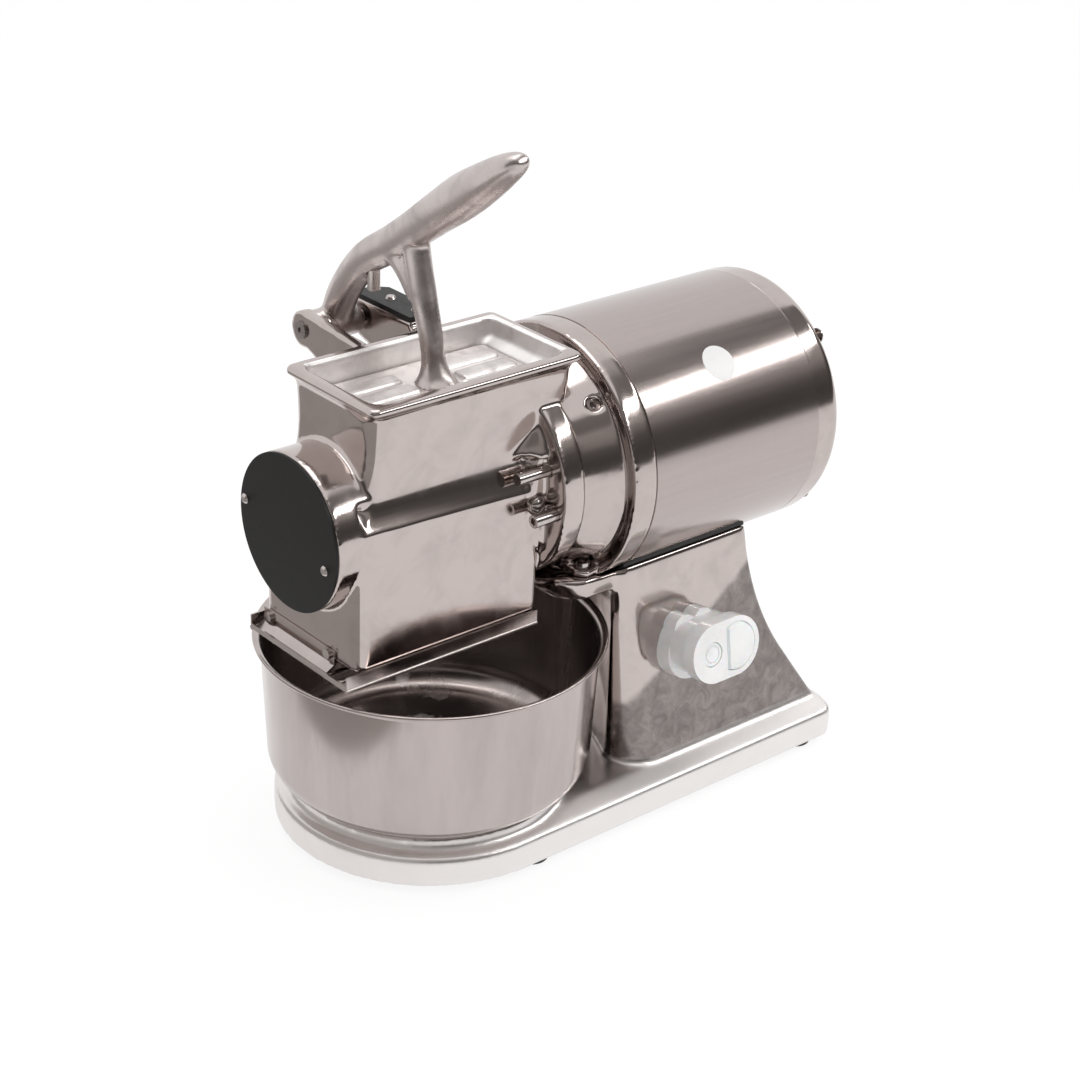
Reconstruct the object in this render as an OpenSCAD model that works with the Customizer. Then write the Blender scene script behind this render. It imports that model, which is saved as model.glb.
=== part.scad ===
// Electric cheese grater: cast base with a pedestal, a motor lying on it, a grating head with a
// hopper in front of the motor, a hand lever with a presser block, and a loose bowl.
// Lengths are in millimetres. X runs from the bowl to the motor, Z is up. All shapes are drawn
// from the bowl's centre line, and place() moves them to the middle of the whole machine.

/* [Base] */
// Half width of the base and radius of its round front
base_r = 99.4; // [97:0.2:104]
// Length of the base behind the bowl's centre
base_rear = 275; // [265:1:290]
// Height of the rubber feet
foot_h = 5; // [4:0.5:8]
// Height of the upright edge of the base
edge_h = 19.5; // [17:0.5:24]
// Rise of the sloping shoulder above the edge
shoulder_h = 5.5; // [4:0.5:8]
// Width of the sloping shoulder
shoulder_w = 16.4; // [14:0.2:19]
// Corner radius at the rear of the base
rear_corner_r = 8; // [5:1:12]
// Wall thickness of the base casting
base_wall = 5; // [4:0.5:6]
// Radius of the raised seat under the bowl
seat_r = 90; // [84:1:92]
// Height of the raised seat under the bowl
seat_h = 5.5; // [3:0.5:7]
// Radius of a rubber foot
foot_r = 12; // [10:0.5:13]
// Place of the front feet behind the bowl's centre
foot_front_x = 17; // [10:1:30]
// Place of the rear feet ahead of the base's rear edge
foot_rear_in = 22; // [18:1:35]
// Place of each foot in from the side of the base
foot_side_in = 15.4; // [14.8:0.2:18]
// Thickness of the sheet that closes the underside
cover_t = 1.5; // [1:0.25:3]

/* [Column] */
// Height over which each side of the column leans in by one millimetre
column_lean = 6; // [5.5:0.25:8]
// Rear face of the column at its top, behind the bowl's centre
column_rear = 215.5; // [205:0.5:225]
// Angle of the straight flare at the column's rear foot
flare_angle = 33.7; // [30:0.1:36]
// Gap between the bowl's rim and the hollow face of the column
bay_gap = 4.4; // [3:0.2:8]
// Radius of the column's front corners at the top
corner_top_r = 13; // [8:1:16]
// Radius of the column's front corners at the foot
corner_foot_r = 26; // [16:1:30]
// Top face of the shelf in front of the column, above the floor
shelf_z = 165; // [160:0.5:167]
// Thickness of the shelf
shelf_t = 14; // [10:1:18]
// Front edge of the shelf, behind the bowl's centre
shelf_front = 62; // [56:1:68]
// Half width of the shelf
shelf_half = 57; // [50:1:59]

/* [Motor] */
// Height of the motor's and the drum's common axis
axis_z = 229.3; // [226:0.1:233]
// Outer radius of the motor
motor_r = 84.4; // [80:0.2:86]
// Sheet thickness of the motor casing
casing_t = 1.5; // [1:0.25:2.5]
// Front end of the casing, behind the bowl's centre
casing_front = 107.8; // [105:0.2:112]
// Rear end of the casing, behind the bowl's centre
casing_rear = 249; // [240:1:256]
// Depth of the polished rear cap
cap_depth = 22; // [18:1:26]
// Radius of the rear cap's rounded edge
cap_edge_r = 7; // [4:0.5:9]
// Width of the front flange ring
flange_w = 17.8; // [14:0.2:20]
// Front face of the motor's neck, behind the bowl's centre
neck_front = 63.8; // [61:0.2:66]
// Radius of the neck at its front
neck_r1 = 66; // [62:0.5:68]
// Radius of the neck at the flange ring
neck_r2 = 75; // [70:0.5:78]
// Thickness of the rubber between motor and column
gasket_t = 1.6; // [1:0.1:2.5]
// Length of the stator and rotor stacks
stack_l = 84; // [70:1:90]
// Air gap between stator and rotor
air_gap = 0.5; // [0.4:0.1:1]
// Bore radius of the stator
stator_bore_r = 46; // [40:0.5:50]
// Radius of the shaft
shaft_r = 10; // [9:0.5:11]
// Radius of the shaft's front and rear journals
journal_r = 7.5; // [6.5:0.25:8]
// Outer radius of the front bearing
bearing_r = 23.5; // [21:0.5:26]
// Width of the front bearing
bearing_w = 14; // [12:1:15]
// Outer radius of the rear bearing
rear_bearing_r = 17.5; // [16:0.5:20]
// Width of the rear bearing
rear_bearing_w = 11; // [9:1:12]
// Radial clearance of every running fit
running_gap = 0.05; // [0.02:0.01:0.08]
// Number of blades on the cooling fan
fan_blades = 8; // [6:1:12]

/* [Grating head] */
// Half width of the drum chamber
chamber_half = 48; // [46:0.5:52]
// Front face of the chamber, ahead of the bowl's centre
chamber_front = 92; // [88:1:96]
// Rear face of the chamber, behind the bowl's centre
chamber_rear = 46; // [44:0.5:48]
// Lower edge of the chamber above the floor
chamber_bottom = 151; // [147:0.5:155]
// Top of the chamber's upright walls above the floor
crease_z = 239.6; // [237:0.2:245]
// How much the crease drops towards the rear
crease_drop = 6.6; // [0:0.2:9]
// Corner radius of the chamber
chamber_corner_r = 7; // [5:0.5:12]
// Wall thickness of the head casting
head_wall = 4.5; // [4:0.25:5.5]
// Height of the curved flare along both sides, between chamber and hopper
head_flare_h = 21; // [16:0.5:24]
// Height of the curved flare at the front, between chamber and hopper
front_flare_h = 48; // [36:1:52]
// Clear length of the hopper's mouth
mouth_l = 140; // [134:1:144]
// Clear width of the hopper's mouth
mouth_w = 71.8; // [68:0.2:74]
// Front end of the mouth, ahead of the bowl's centre
mouth_front = 72.3; // [70:0.1:75]
// Sideways offset of the mouth's middle line
mouth_shift = -3.6; // [-5:0.1:-2]
// Top of the hopper rim above the floor
rim_z = 315; // [310:1:320]
// Width of the hopper's rim
rim_w = 8.6; // [7:0.2:10]
// Height of the hopper's rim
rim_h = 4.5; // [3.5:0.25:6]
// Corner radius of the hopper's rim
rim_corner_r = 5.5; // [4:0.5:8]
// Draft of the hopper's side walls from rim to flare
hopper_draft = 3.5; // [2:0.25:4]
// Outer radius of the round boss at the front
boss_r = 48.8; // [46:0.2:51]
// Front face of the boss, ahead of the bowl's centre
boss_front = 105.4; // [102:0.2:107]
// Clear radius of the hole in the boss
boss_bore_r = 39; // [38.5:0.5:41]
// Clearance between the drum's teeth and the chamber's ceiling
drum_clearance = 2; // [1:0.25:3]
// Radius of the ring that meets the motor
ring_r = 69; // [66:0.5:71]
// Clear radius inside that ring and in the neck's front wall
ring_bore_r = 38; // [30:1:44]
// Width of that ring
ring_w = 16.5; // [14:0.5:18]
// Thickness of the black disc on the boss
disc_t = 1.6; // [1.2:0.1:2.5]
// Depth of the outlet guard below the chamber
guard_h = 7.5; // [6.5:0.5:9]
// How far the outlet guard stands out ahead of the chamber
guard_lip = 9; // [5:0.5:11]
// Radius of the outlet guard's rods
guard_rod_r = 1.5; // [1:0.25:2]
// Number of rods across the outlet
guard_rods = 8; // [5:1:11]

/* [Drum] */
// Outer radius of the grating drum
drum_r = 38; // [35:0.25:38.25]
// Sheet thickness of the drum
drum_t = 1.5; // [1:0.25:2]
// Gap between the drum's front edge and the chamber's front wall
drum_front_gap = 0.6; // [0.4:0.1:1.5]
// Gap between the drum's rear end and the chamber's rear wall
drum_end_gap = 4; // [3:0.5:6]
// Number of rings of teeth on the drum
tooth_rings = 12; // [8:1:14]
// Number of teeth in one ring
teeth_per_ring = 16; // [10:1:18]
// Radius of a tooth's foot
tooth_r = 2.6; // [1.5:0.1:3]
// Height of a tooth
tooth_h = 0.9; // [0.5:0.1:1]

/* [Lever] */
// Distance of the lever's hinge from the middle plane
hinge_y = 99; // [96:0.5:99.5]
// Height of the lever's hinge
hinge_z = 306; // [304:0.5:307]
// Radius of the hinge pin
pin_r = 4; // [3:0.25:5]
// Radius of the hinge eyes
eye_r = 12; // [10.5:0.5:12.5]
// Radius of the lever's barrel
barrel_r = 10.5; // [9:0.5:11]
// Middle of the lever's thickness, behind the bowl's centre
lever_x = -2.3; // [-4:0.1:0]
// Half length of the lever's barrel
barrel_half = 16; // [14:0.25:16.25]
// Thickness of the front hinge ear
ear_t = 8; // [6:0.5:10]
// Gap between the barrel and each hinge ear
ear_gap = 0.4; // [0.3:0.1:1]
// Half thickness of the grip across the lever
grip_half = 13; // [11:0.5:14]
// Half height of the grip
grip_h = 13.4; // [11.5:0.2:14]
// Depth of the finger grooves in the grip
groove_d = 2.2; // [1:0.2:3]
// Gap between the presser block and the hopper's walls
press_gap = 1.6; // [1.2:0.1:3]
// Gap between the presser block and the drum's teeth
press_drum_gap = 2.6; // [2:0.1:5]
// Depth of the presser block's top below the rim
press_drop = 15; // [13:0.5:18]
// Height of the ribs on top of the presser block
rib_h = 3; // [2:0.25:4]
// Radius of the magnet holder under the arm
magnet_r = 4; // [3:0.25:5]

/* [Bowl] */
// Radius of the bowl's rolled rim
bowl_rim_r = 111.6; // [109:0.2:113]
// How far the bowl's rim turns out from its wall
bowl_lip = 5; // [3:0.2:7]
// How much the bowl's wall draws in towards the bottom
bowl_draft = 3.2; // [1:0.2:6]
// Radius of the bowl's rounded bottom edge
bowl_edge_r = 18; // [10:1:22]
// Height of the bowl's rim above the floor
bowl_rim_z = 132; // [126:1:134]
// Sheet thickness of the bowl
bowl_t = 1.2; // [0.8:0.1:2]
// Radius of the bowl's rolled rim bead
bead_r = 1.1; // [0.8:0.1:1.4]

/* [Switch] */
// Place of the switch behind the bowl's centre
switch_x = 157; // [150:1:165]
// Height of the switch's middle where it meets the column
switch_z = 106; // [96:1:112]
// Length of the switch's front
switch_l = 58; // [54:1:62]
// Height of the switch's front
switch_w = 40; // [36:1:42]
// How far the switch stands out from the column
switch_d = 36; // [30:0.5:37]
// Radius of the start button
start_r = 8; // [6:0.25:9]
// Travel of the buttons
button_travel = 3; // [2:0.5:4]
// Gap round each button
button_gap = 0.3; // [0.2:0.05:0.5]

/* [Hidden] */
$fn = 96;
eps = 0.01;

// Heights and outlines of the base
edge_top = foot_h + edge_h;
base_top = edge_top + shoulder_h;
top_half = base_r - shoulder_w;
foot_y = base_r - foot_side_in;
foot_xs = [foot_front_x, base_rear - foot_rear_in];
foot_boss_r = foot_r + 1;
foot_screw_r = 2.5;
foot_hole_gap = 0.3;
foot_pocket_h = 3;
foot_head_h = 2;
foot_head_r = 5;
cover_z = foot_h + 0.5;
cover_gap = 0.3;
cover_screw_r = 2;
cover_boss_r = 5;
cover_head_h = 1.6;
cover_screw_l = 11;
cover_side = base_r - base_wall - cover_boss_r - 2;
cover_points = [[-60, 40], [-60, -40], [190, cover_side], [190, -cover_side]];

// The column
lean_angle = atan(1 / column_lean);
column_top = axis_z - sqrt(pow(motor_r, 2) - pow(shelf_half + 3, 2)) + 2;
arc_top = shelf_z;
rear_drop = arc_top - edge_top;
rear_run = base_rear - column_rear;
rear_arc_r = (rear_drop * tan(flare_angle) - rear_run)
  / (sin(flare_angle) * tan(flare_angle) - 1 + cos(flare_angle));
bay_r = bowl_rim_r + bay_gap;
bowl_wall_r = bowl_rim_r - bowl_lip;
bowl_foot_r = bowl_wall_r - bowl_draft;
column_front = bay_r - 16;
rear_edge_r = 5;
saddle_r = motor_r + gasket_t;
shelf_corner_r = 22;
shelf_hole_r = 3.5;
shelf_hole = [shelf_front + 11, 36];
motor_screw = [neck_front + 20, shelf_half - 11];
motor_screw_r = 3;
motor_screw_l = 10;
motor_screw_head_r = 4.5;
motor_screw_head_h = 3.4;
flange_foot_t = 4.5;
flange_foot_r = 8.5;
flange_foot_in = 30;

// The motor's inner parts
flange_front = casing_front - flange_w;
casing_in_r = motor_r - casing_t;
spigot = 4.2;
web_front = flange_front + 6;
web_rear = casing_front - 4;
front_bearing_x = web_front + 3;
cap_rear = casing_rear + cap_depth;
cap_wall = 4;
rear_bearing_x = casing_rear + 4;
stack_x = casing_front + 15;
winding_l = 11;
winding_gap = 1.6;
rotor_r = stator_bore_r - air_gap;
fan_x = stack_x + stack_l + 22;
fan_w = 12;
fan_r = casing_in_r - 14;
rod_r = 2.5;
rod_place_r = casing_in_r - 4.8;
winding_r = rod_place_r - rod_r - winding_gap;
neck_screw_angle = 134;
neck_screw_x = flange_front - 6.5;
neck_screw_r = 4.4;
neck_wall = 8;
neck_skin = 8;

// The head
ring_rear = neck_front;
ring_front = ring_rear - ring_w;
head_back = ring_rear - 11;
seal_r = 16;
cavity_half = chamber_half - head_wall;
ceiling_r = drum_r + tooth_h + drum_clearance;
cavity_front = chamber_front - head_wall - 0.5;
cavity_rear = chamber_rear - 4;
mouth_rear = mouth_l - mouth_front;
hopper_top = rim_z - rim_h;
hopper_skin = 3.8;
hopper_far_skin = 7.2;
hopper_corner_r = 9;
hopper_front = mouth_front + 4.2;
hopper_rear = mouth_rear + 3.6;
neck_gap = 0.4;
neck_cover = neck_r1 + hopper_skin;
bolt_r = 3.75;
bolt_shank_r = 2.5;
bolt_a = [-51, 17.5];
bolt_c = [-59, -9];
bolt_head_r = 4.2;
bolt_a_l = 24;
bolt_c_l = 17;
lock_x = chamber_rear - 4.5;
lock_drop = 4.3;
lock_head_r = 5.5;
lock_head_h = 5;
neck_flare_l = 10.3;
neck_flare_r = ring_r - 7;
neck_flare_half = chamber_half + 2;
neck_flare_top = axis_z + 27;
boss_shoulder_half = 40;
disc_points = [for (p = [[43.6, 7.6], [38.5, 194.2]]) [p[0] * cos(p[1]), p[0] * sin(p[1])]];
disc_r = boss_r - 0.2;
disc_front = boss_front + disc_t;
disc_screw_shank_r = 1.8;
disc_hub_r = 14;
disc_hub_l = 7;
bush_r = 11;
drum_front = cavity_front - drum_front_gap;
drum_rear = cavity_rear - drum_end_gap;
shaft_end = boss_front - 3;
drum_cap_t = 4;
drum_hub_r = 18;
drum_hub_l = 16;
nut_l = 6;
nut_r = 12;

// The hinge bracket and the box beside it
ear_in = lever_x - barrel_half - ear_gap;
ear_out = ear_in - ear_t;
box_in = lever_x + barrel_half + ear_gap + 2;
box_l = 22;
box_out = box_in + box_l;
box_wall = 3;
box_top = hinge_z + 12;
box_floor = hinge_z - 13;
box_near = 46;
box_far = hinge_y + eye_r - 1;
box_pocket_far = hinge_y - pin_r - 5;
lid_t = 3.2;
lid_screw_ys = [box_near + 8, box_near + 34];
wall_y = mouth_shift + mouth_w / 2 + 3;
gusset_z = hinge_z - 34;

// The switch on the column
switch_y = column_half(switch_z);
switch_bezel_d = 11;
switch_body_d = switch_d - 7;
switch_end_r = switch_w / 2;
switch_mid = switch_l / 2 - switch_end_r;
start_u = -switch_mid - 3;
stop_r = switch_end_r - 4;
stop_flat = 1;
button_depth = 13;
start_proud = -0.5;
stop_proud = 1.2;
spigot_r = 11;
spigot_l = base_wall + 4;

// The gland on the far side of the column
gland_x = column_rear + 12;
gland_z = base_top + 22;
gland_r = 9;
gland_hole_r = 4;

// The capacitor in the column
cap_can = [178, 14];
cap_can_r = 20;
cap_can_h = 78;
cap_clamp_t = 2;
cap_clamp_h = 16;
cap_clamp_foot = 9;

// The lever's middle line from the hinge to the tip: side place, height, half height, half width
arm_line = [
  [hinge_y, hinge_z, 9, 10],
  [hinge_y - 6, hinge_z + 15, 10, 10],
  [hinge_y - 15.5, hinge_z + 31, 10.3, 10],
  [hinge_y - 34.5, hinge_z + 52, 10.6, 10.4],
  [hinge_y - 60.5, hinge_z + 68.5, 11.4, 10.6],
  [hinge_y - 81, hinge_z + 83, 11.6, 11.2],
  [hinge_y - 103, hinge_z + 99, grip_h - 1, grip_half - 0.8],
  [hinge_y - 126, hinge_z + 115.3, grip_h, grip_half],
  [hinge_y - 146, hinge_z + 129, grip_h - 1.8, grip_half],
  [hinge_y - 161, hinge_z + 139.5, grip_h - 4.2, grip_half - 1.5],
  [hinge_y - 171, hinge_z + 146, grip_h - 6.8, grip_half - 4],
  [hinge_y - 176.5, hinge_z + 149.3, grip_h - 10.2, grip_half - 8.5]
];
// The leg's middle line from the arm down to the presser block, in the same order
press_top = rim_z - press_drop;
leg_line = [
  [17, hinge_z + 76, 9, 8],
  [13.5, hinge_z + 60, 9, 8],
  [8.8, hinge_z + 44, 8.8, 7.8],
  [4.2, hinge_z + 31, 8, 7.4],
  [0.6, hinge_z + 18, 7.5, 7.2],
  [-1.6, hinge_z + 7, 7.6, 7.4],
  [-3.2, press_top + 4, 10.5, 10.5],
  [-4, press_top - 3, 17, 17]
];
// The web's middle line, which rounds off the corner between arm and leg
web_line = [
  [52, hinge_z + 62, 6.5, 7],
  [42, hinge_z + 63.5, 8.8, 7.8],
  [31, hinge_z + 62.5, 8.8, 8],
  [21, hinge_z + 54.5, 8.6, 7.8],
  [13, hinge_z + 43, 7.2, 7.2]
];
leg_foot_y = -4;
magnet_back = 41;
magnet_low = 33.5;
magnet_l = 20;
press_screw_r = 3;
press_screw_head_r = 6;
press_screw_up = 22;
groove_centres = [[-22, 401], [-36, 409], [-49, 418.5], [-61, 429]];
groove_r = 8;

// The presser block
press_swing = hinge_y - (mouth_shift - mouth_w / 2) - press_gap;
press_corner = 6.5;
press_rear_corner = 14;
press_hollow_r = drum_r + tooth_h + press_drum_gap;
press_low = axis_z + 26;
press_ribs = [[-60, -20, 13], [13, 54, 13]];
press_rib_ys = [-24, -6, 12];

// Middle of the whole machine along X
middle_x = (base_rear - bowl_rim_r) / 2;

module place() {
  translate([-middle_x, 0, 0]) children();
}

// A point set turned about the common axis, given as radius and X
module turned(profile) {
  translate([0, 0, axis_z]) rotate([0, 90, 0]) rotate_extrude() polygon(profile);
}

// A rod along X from x0 to x1 at side place y and height z
module rod_x(x0, x1, y, z, r) {
  translate([x0, y, z]) rotate([0, 90, 0]) cylinder(h = x1 - x0, r = r);
}

// A rod on the common axis
module axle(x0, x1, r) {
  rod_x(x0, x1, 0, axis_z, r);
}

// A shape drawn as (Y, Z) and extruded along X
module across(x0, x1) {
  translate([x0, 0, 0]) rotate([90, 0, 90]) linear_extrude(height = x1 - x0) children();
}

// A shape drawn as (X, Z) and extruded along Y
module along(y0, y1) {
  translate([0, y1, 0]) rotate([90, 0, 0]) linear_extrude(height = y1 - y0) children();
}

// A closed skin over a list of rings with equal point counts, seen anticlockwise from the end
module loft(rings) {
  n = len(rings[0]);
  m = len(rings);
  points = [for (ring = rings) each ring];
  sides = [for (k = [0:m - 2]) for (i = [0:n - 1]) let (j = (i + 1) % n)
    each [[k * n + i, k * n + n + i, k * n + n + j], [k * n + i, k * n + n + j, k * n + j]]];
  caps = [[for (i = [0:n - 1]) i], [for (i = [n - 1:-1:0]) (m - 1) * n + i]];
  polyhedron(points, concat(sides, caps), convexity = 8);
}

// Points of a rectangle with corner radii for its front (low X) and rear corners
function plan_ring(x0, x1, y0, y1, rf, rr, z, steps) = [
  for (c = [[x0, y0, rf, 180], [x1, y0, rr, 270], [x1, y1, rr, 0], [x0, y1, rf, 90]])
    let (cx = c[0] == x0 ? x0 + c[2] : x1 - c[2], cy = c[1] == y0 ? y0 + c[2] : y1 - c[2])
    for (i = [0:steps]) let (a = c[3] + 90 * i / steps)
      [cx + c[2] * cos(a), cy + c[2] * sin(a), z]
];

// Catmull-Rom value between b and c at t, for numbers or lists
function spline(a, b, c, d, t) =
  0.5 * (2 * b + (c - a) * t + (2 * a - 5 * b + 4 * c - d) * t * t
    + (3 * b - a - 3 * c + d) * t * t * t);
function bent(line, steps) = [
  for (i = [0:len(line) - 2]) for (s = [0:steps - 1])
    spline(line[max(i - 1, 0)], line[i], line[i + 1], line[min(i + 2, len(line) - 1)], s / steps),
  line[len(line) - 1]
];
function unit(v) = v / norm(v);

// Oval rings square to a line in the plane of the lever
function oval_rings(line, sides) = [
  for (i = [0:len(line) - 1])
    let (p = line[i], a = line[max(i - 1, 0)], b = line[min(i + 1, len(line) - 1)],
      t = unit([b[0] - a[0], b[1] - a[1]]))
    [for (k = [0:sides - 1]) let (w = 360 * k / sides)
      [lever_x + p[3] * cos(w), p[0] + t[1] * p[2] * sin(w), p[1] - t[0] * p[2] * sin(w)]]
];

// Half width of the column and place of its rear face at height z
function column_half(z) = top_half - (z - base_top) / column_lean;
function column_back(z) = let (d = max(arc_top - z, 0), s = rear_arc_r * sin(flare_angle))
  d < s ? column_rear + rear_arc_r - sqrt(pow(rear_arc_r, 2) - d * d)
    : column_rear + rear_arc_r * (1 - cos(flare_angle)) + (d - s) * tan(flare_angle);
function corner_at(z) = let (t = max((z - edge_top) / (column_top - edge_top), 0))
  corner_foot_r + (corner_top_r - corner_foot_r) * pow(t, 0.5);

// Outline of the base, smaller all round by inset
module base_outline(inset = 0) {
  corner = max(rear_corner_r - inset, 1);
  rear = base_rear - inset;
  half = base_r - inset;
  circle(r = half);
  translate([0, -half]) square([rear - corner, 2 * half]);
  translate([0, -half + corner]) square([rear, 2 * (half - corner)]);
  for (s = [-1, 1]) translate([rear - corner, s * (half - corner)]) circle(r = corner);
}

module base_plate() {
  intersection() {
    translate([0, 0, foot_h]) linear_extrude(height = edge_h + shoulder_h) base_outline();
    union() {
      translate([0, 0, foot_h]) cylinder(h = edge_h, r = base_r);
      translate([0, 0, edge_top]) cylinder(h = shoulder_h, r1 = base_r, r2 = top_half);
      across(0, base_rear) polygon([
        [-base_r, foot_h], [base_r, foot_h], [base_r, edge_top],
        [top_half, base_top], [-top_half, base_top], [-base_r, edge_top]
      ]);
    }
  }
}

module column_skin(inset, z0, z1, steps, levels) {
  heights = [for (k = [0:levels]) z0 + (z1 - z0) * k / levels];
  loft([for (z = heights) plan_ring(
    column_front + inset, column_back(z) - inset, -column_half(z) + inset,
    column_half(z) - inset, max(corner_at(z) - inset, 3), rear_edge_r, z, steps
  )]);
}

module shelf_outline() {
  translate([shelf_front, -shelf_half + shelf_corner_r])
    square([shelf_corner_r, 2 * (shelf_half - shelf_corner_r)]);
  translate([shelf_front + shelf_corner_r, -shelf_half])
    square([column_front + 20 - shelf_front - shelf_corner_r, 2 * shelf_half]);
  for (s = [-1, 1])
    translate([shelf_front + shelf_corner_r, s * (shelf_half - shelf_corner_r)])
      circle(r = shelf_corner_r);
}

module at_feet() {
  for (x = foot_xs) for (s = [-1, 1]) translate([x, s * foot_y, 0]) children();
}

module at_switch() {
  translate([switch_x, -switch_y, switch_z]) rotate([90 - lean_angle, 0, 0]) children();
}

module at_gland() {
  translate([gland_x, column_half(gland_z), gland_z]) rotate([lean_angle - 90, 0, 0]) children();
}

module base_casting() {
  color("#c9c2c0") difference() {
    union() {
      difference() {
        union() {
          base_plate();
          column_skin(0, edge_top, column_top, 8, 24);
        }
        translate([0, 0, base_top]) cylinder(h = shelf_z - base_top - shelf_t, r = bay_r);
        translate([0, 0, foot_h - eps])
          linear_extrude(height = base_top - base_wall - foot_h) base_outline(base_wall);
        difference() {
          column_skin(base_wall, base_top - base_wall - 1, axis_z - saddle_r - base_wall, 2, 8);
          cylinder(h = shelf_z, r = bay_r + base_wall);
        }
      }
      translate([0, 0, base_top - 1]) cylinder(h = seat_h + 1, r = seat_r);
      translate([0, 0, shelf_z - shelf_t]) linear_extrude(height = shelf_t) shelf_outline();
      intersection() {
        translate([0, 0, foot_h]) linear_extrude(height = edge_h - 1) base_outline();
        at_feet() cylinder(h = base_top - 1, r = foot_boss_r);
      }
      for (p = cover_points) translate([p[0], p[1], cover_z + cover_t])
        cylinder(h = base_top - base_wall - cover_z - cover_t + 1, r = cover_boss_r);
    }
    axle(flange_front - 0.5, casing_rear, saddle_r);
    turned([[0, shelf_front - 5], [neck_r2 + gasket_t - 2, shelf_front - 5],
      [neck_r2 + gasket_t, flange_front], [0, flange_front]]);
    for (s = [-1, 1]) {
      translate([shelf_hole[0], s * shelf_hole[1], shelf_z - shelf_t - 1])
        cylinder(h = shelf_t + 2, r = shelf_hole_r);
      translate([motor_screw[0], s * motor_screw[1], shelf_z - motor_screw_l - 1])
        cylinder(h = motor_screw_l + 3, r = motor_screw_r);
    }
    at_feet() cylinder(h = foot_h + 14, r = foot_screw_r);
    for (p = cover_points) translate([p[0], p[1], cover_z])
      cylinder(h = cover_screw_l + 1, r = cover_screw_r);
    at_switch() translate([0, 0, -spigot_l - 3]) cylinder(h = spigot_l + 6, r = spigot_r);
    at_gland() translate([0, 0, -base_wall - 4]) cylinder(h = base_wall + 6, r = gland_r - 2);
  }
}

module bottom_cover() {
  color("#8d8d8d") translate([0, 0, cover_z]) linear_extrude(height = cover_t) difference() {
    base_outline(base_wall + cover_gap);
    for (x = foot_xs) for (s = [-1, 1])
      translate([x, s * foot_y]) circle(r = foot_boss_r + cover_gap);
    for (p = cover_points) translate(p) circle(r = cover_screw_r);
  }
}

module cover_screws() {
  color("#b0b0b0") for (p = cover_points) translate([p[0], p[1], 0]) {
    translate([0, 0, cover_z - cover_head_h]) cylinder(h = cover_head_h, r = 2 * cover_screw_r);
    translate([0, 0, cover_z]) cylinder(h = cover_screw_l, r = cover_screw_r);
  }
}

module feet() {
  color("#2b2a29") at_feet() difference() {
    cylinder(h = foot_h, r1 = foot_r - 1.5, r2 = foot_r);
    translate([0, 0, -eps]) cylinder(h = foot_pocket_h, r = foot_head_r);
    cylinder(h = foot_h + 1, r = foot_screw_r + foot_hole_gap);
  }
}

module foot_screws() {
  color("#b0b0b0") at_feet() {
    translate([0, 0, foot_pocket_h - foot_head_h - eps])
      cylinder(h = foot_head_h, r = foot_head_r - 0.4);
    translate([0, 0, foot_pocket_h - foot_head_h])
      cylinder(h = foot_h - foot_pocket_h + foot_head_h + 12, r = foot_screw_r);
  }
}

module cable_gland() {
  color("#3a3938") at_gland() difference() {
    union() {
      cylinder(h = 5, r = gland_r + 1.5, $fn = 6);
      translate([0, 0, 5]) cylinder(h = 8, r1 = gland_r, r2 = gland_r - 2.5);
      translate([0, 0, -base_wall - 3]) cylinder(h = base_wall + 3, r = gland_r - 2);
    }
    translate([0, 0, -base_wall - 4]) cylinder(h = base_wall + 20, r = gland_hole_r);
  }
}

module capacitor() {
  color("#dcdad6") translate([cap_can[0], cap_can[1], cover_z + cover_t]) {
    cylinder(h = cap_can_h, r = cap_can_r);
    for (s = [-1, 1]) translate([s * 6 - 1, -3, cap_can_h]) cube([2, 6, 8]);
  }
}

module capacitor_clamp() {
  color("#b0b0b0") translate([cap_can[0], cap_can[1], cover_z + cover_t]) difference() {
    union() {
      cylinder(h = cap_clamp_h, r = cap_can_r + cap_clamp_t);
      cylinder(h = cap_clamp_t, r = cap_can_r + cap_clamp_foot);
    }
    translate([0, 0, -1]) cylinder(h = cap_clamp_h + 2, r = cap_can_r);
  }
}

module motor_gasket() {
  color("#2b2a29") intersection() {
    column_skin(0.6, column_top - 60, column_top - 0.5, 5, 8);
    difference() {
      axle(casing_front, casing_rear, saddle_r);
      axle(casing_front - 1, casing_rear + 1, motor_r);
    }
  }
}

module motor_screws() {
  color("#b9b4b2") for (s = [-1, 1]) translate([motor_screw[0], s * motor_screw[1], 0]) {
    translate([0, 0, shelf_z - motor_screw_l])
      cylinder(h = motor_screw_l + flange_foot_t, r = motor_screw_r);
    difference() {
      translate([0, 0, shelf_z + flange_foot_t])
        cylinder(h = motor_screw_head_h, r = motor_screw_head_r);
      translate([0, 0, shelf_z + flange_foot_t + 1.4]) cylinder(h = 4, r = 2.4, $fn = 6);
    }
  }
}

// A place on the neck's outside, turned so that its Z points out of the neck
module at_neck_screw() {
  r = neck_r1 + (neck_r2 - neck_r1) * (neck_screw_x - neck_front) / (flange_front - neck_front);
  translate([neck_screw_x, r * cos(neck_screw_angle), axis_z + r * sin(neck_screw_angle)])
    rotate([neck_screw_angle - 90, 0, 0]) children();
}

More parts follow.
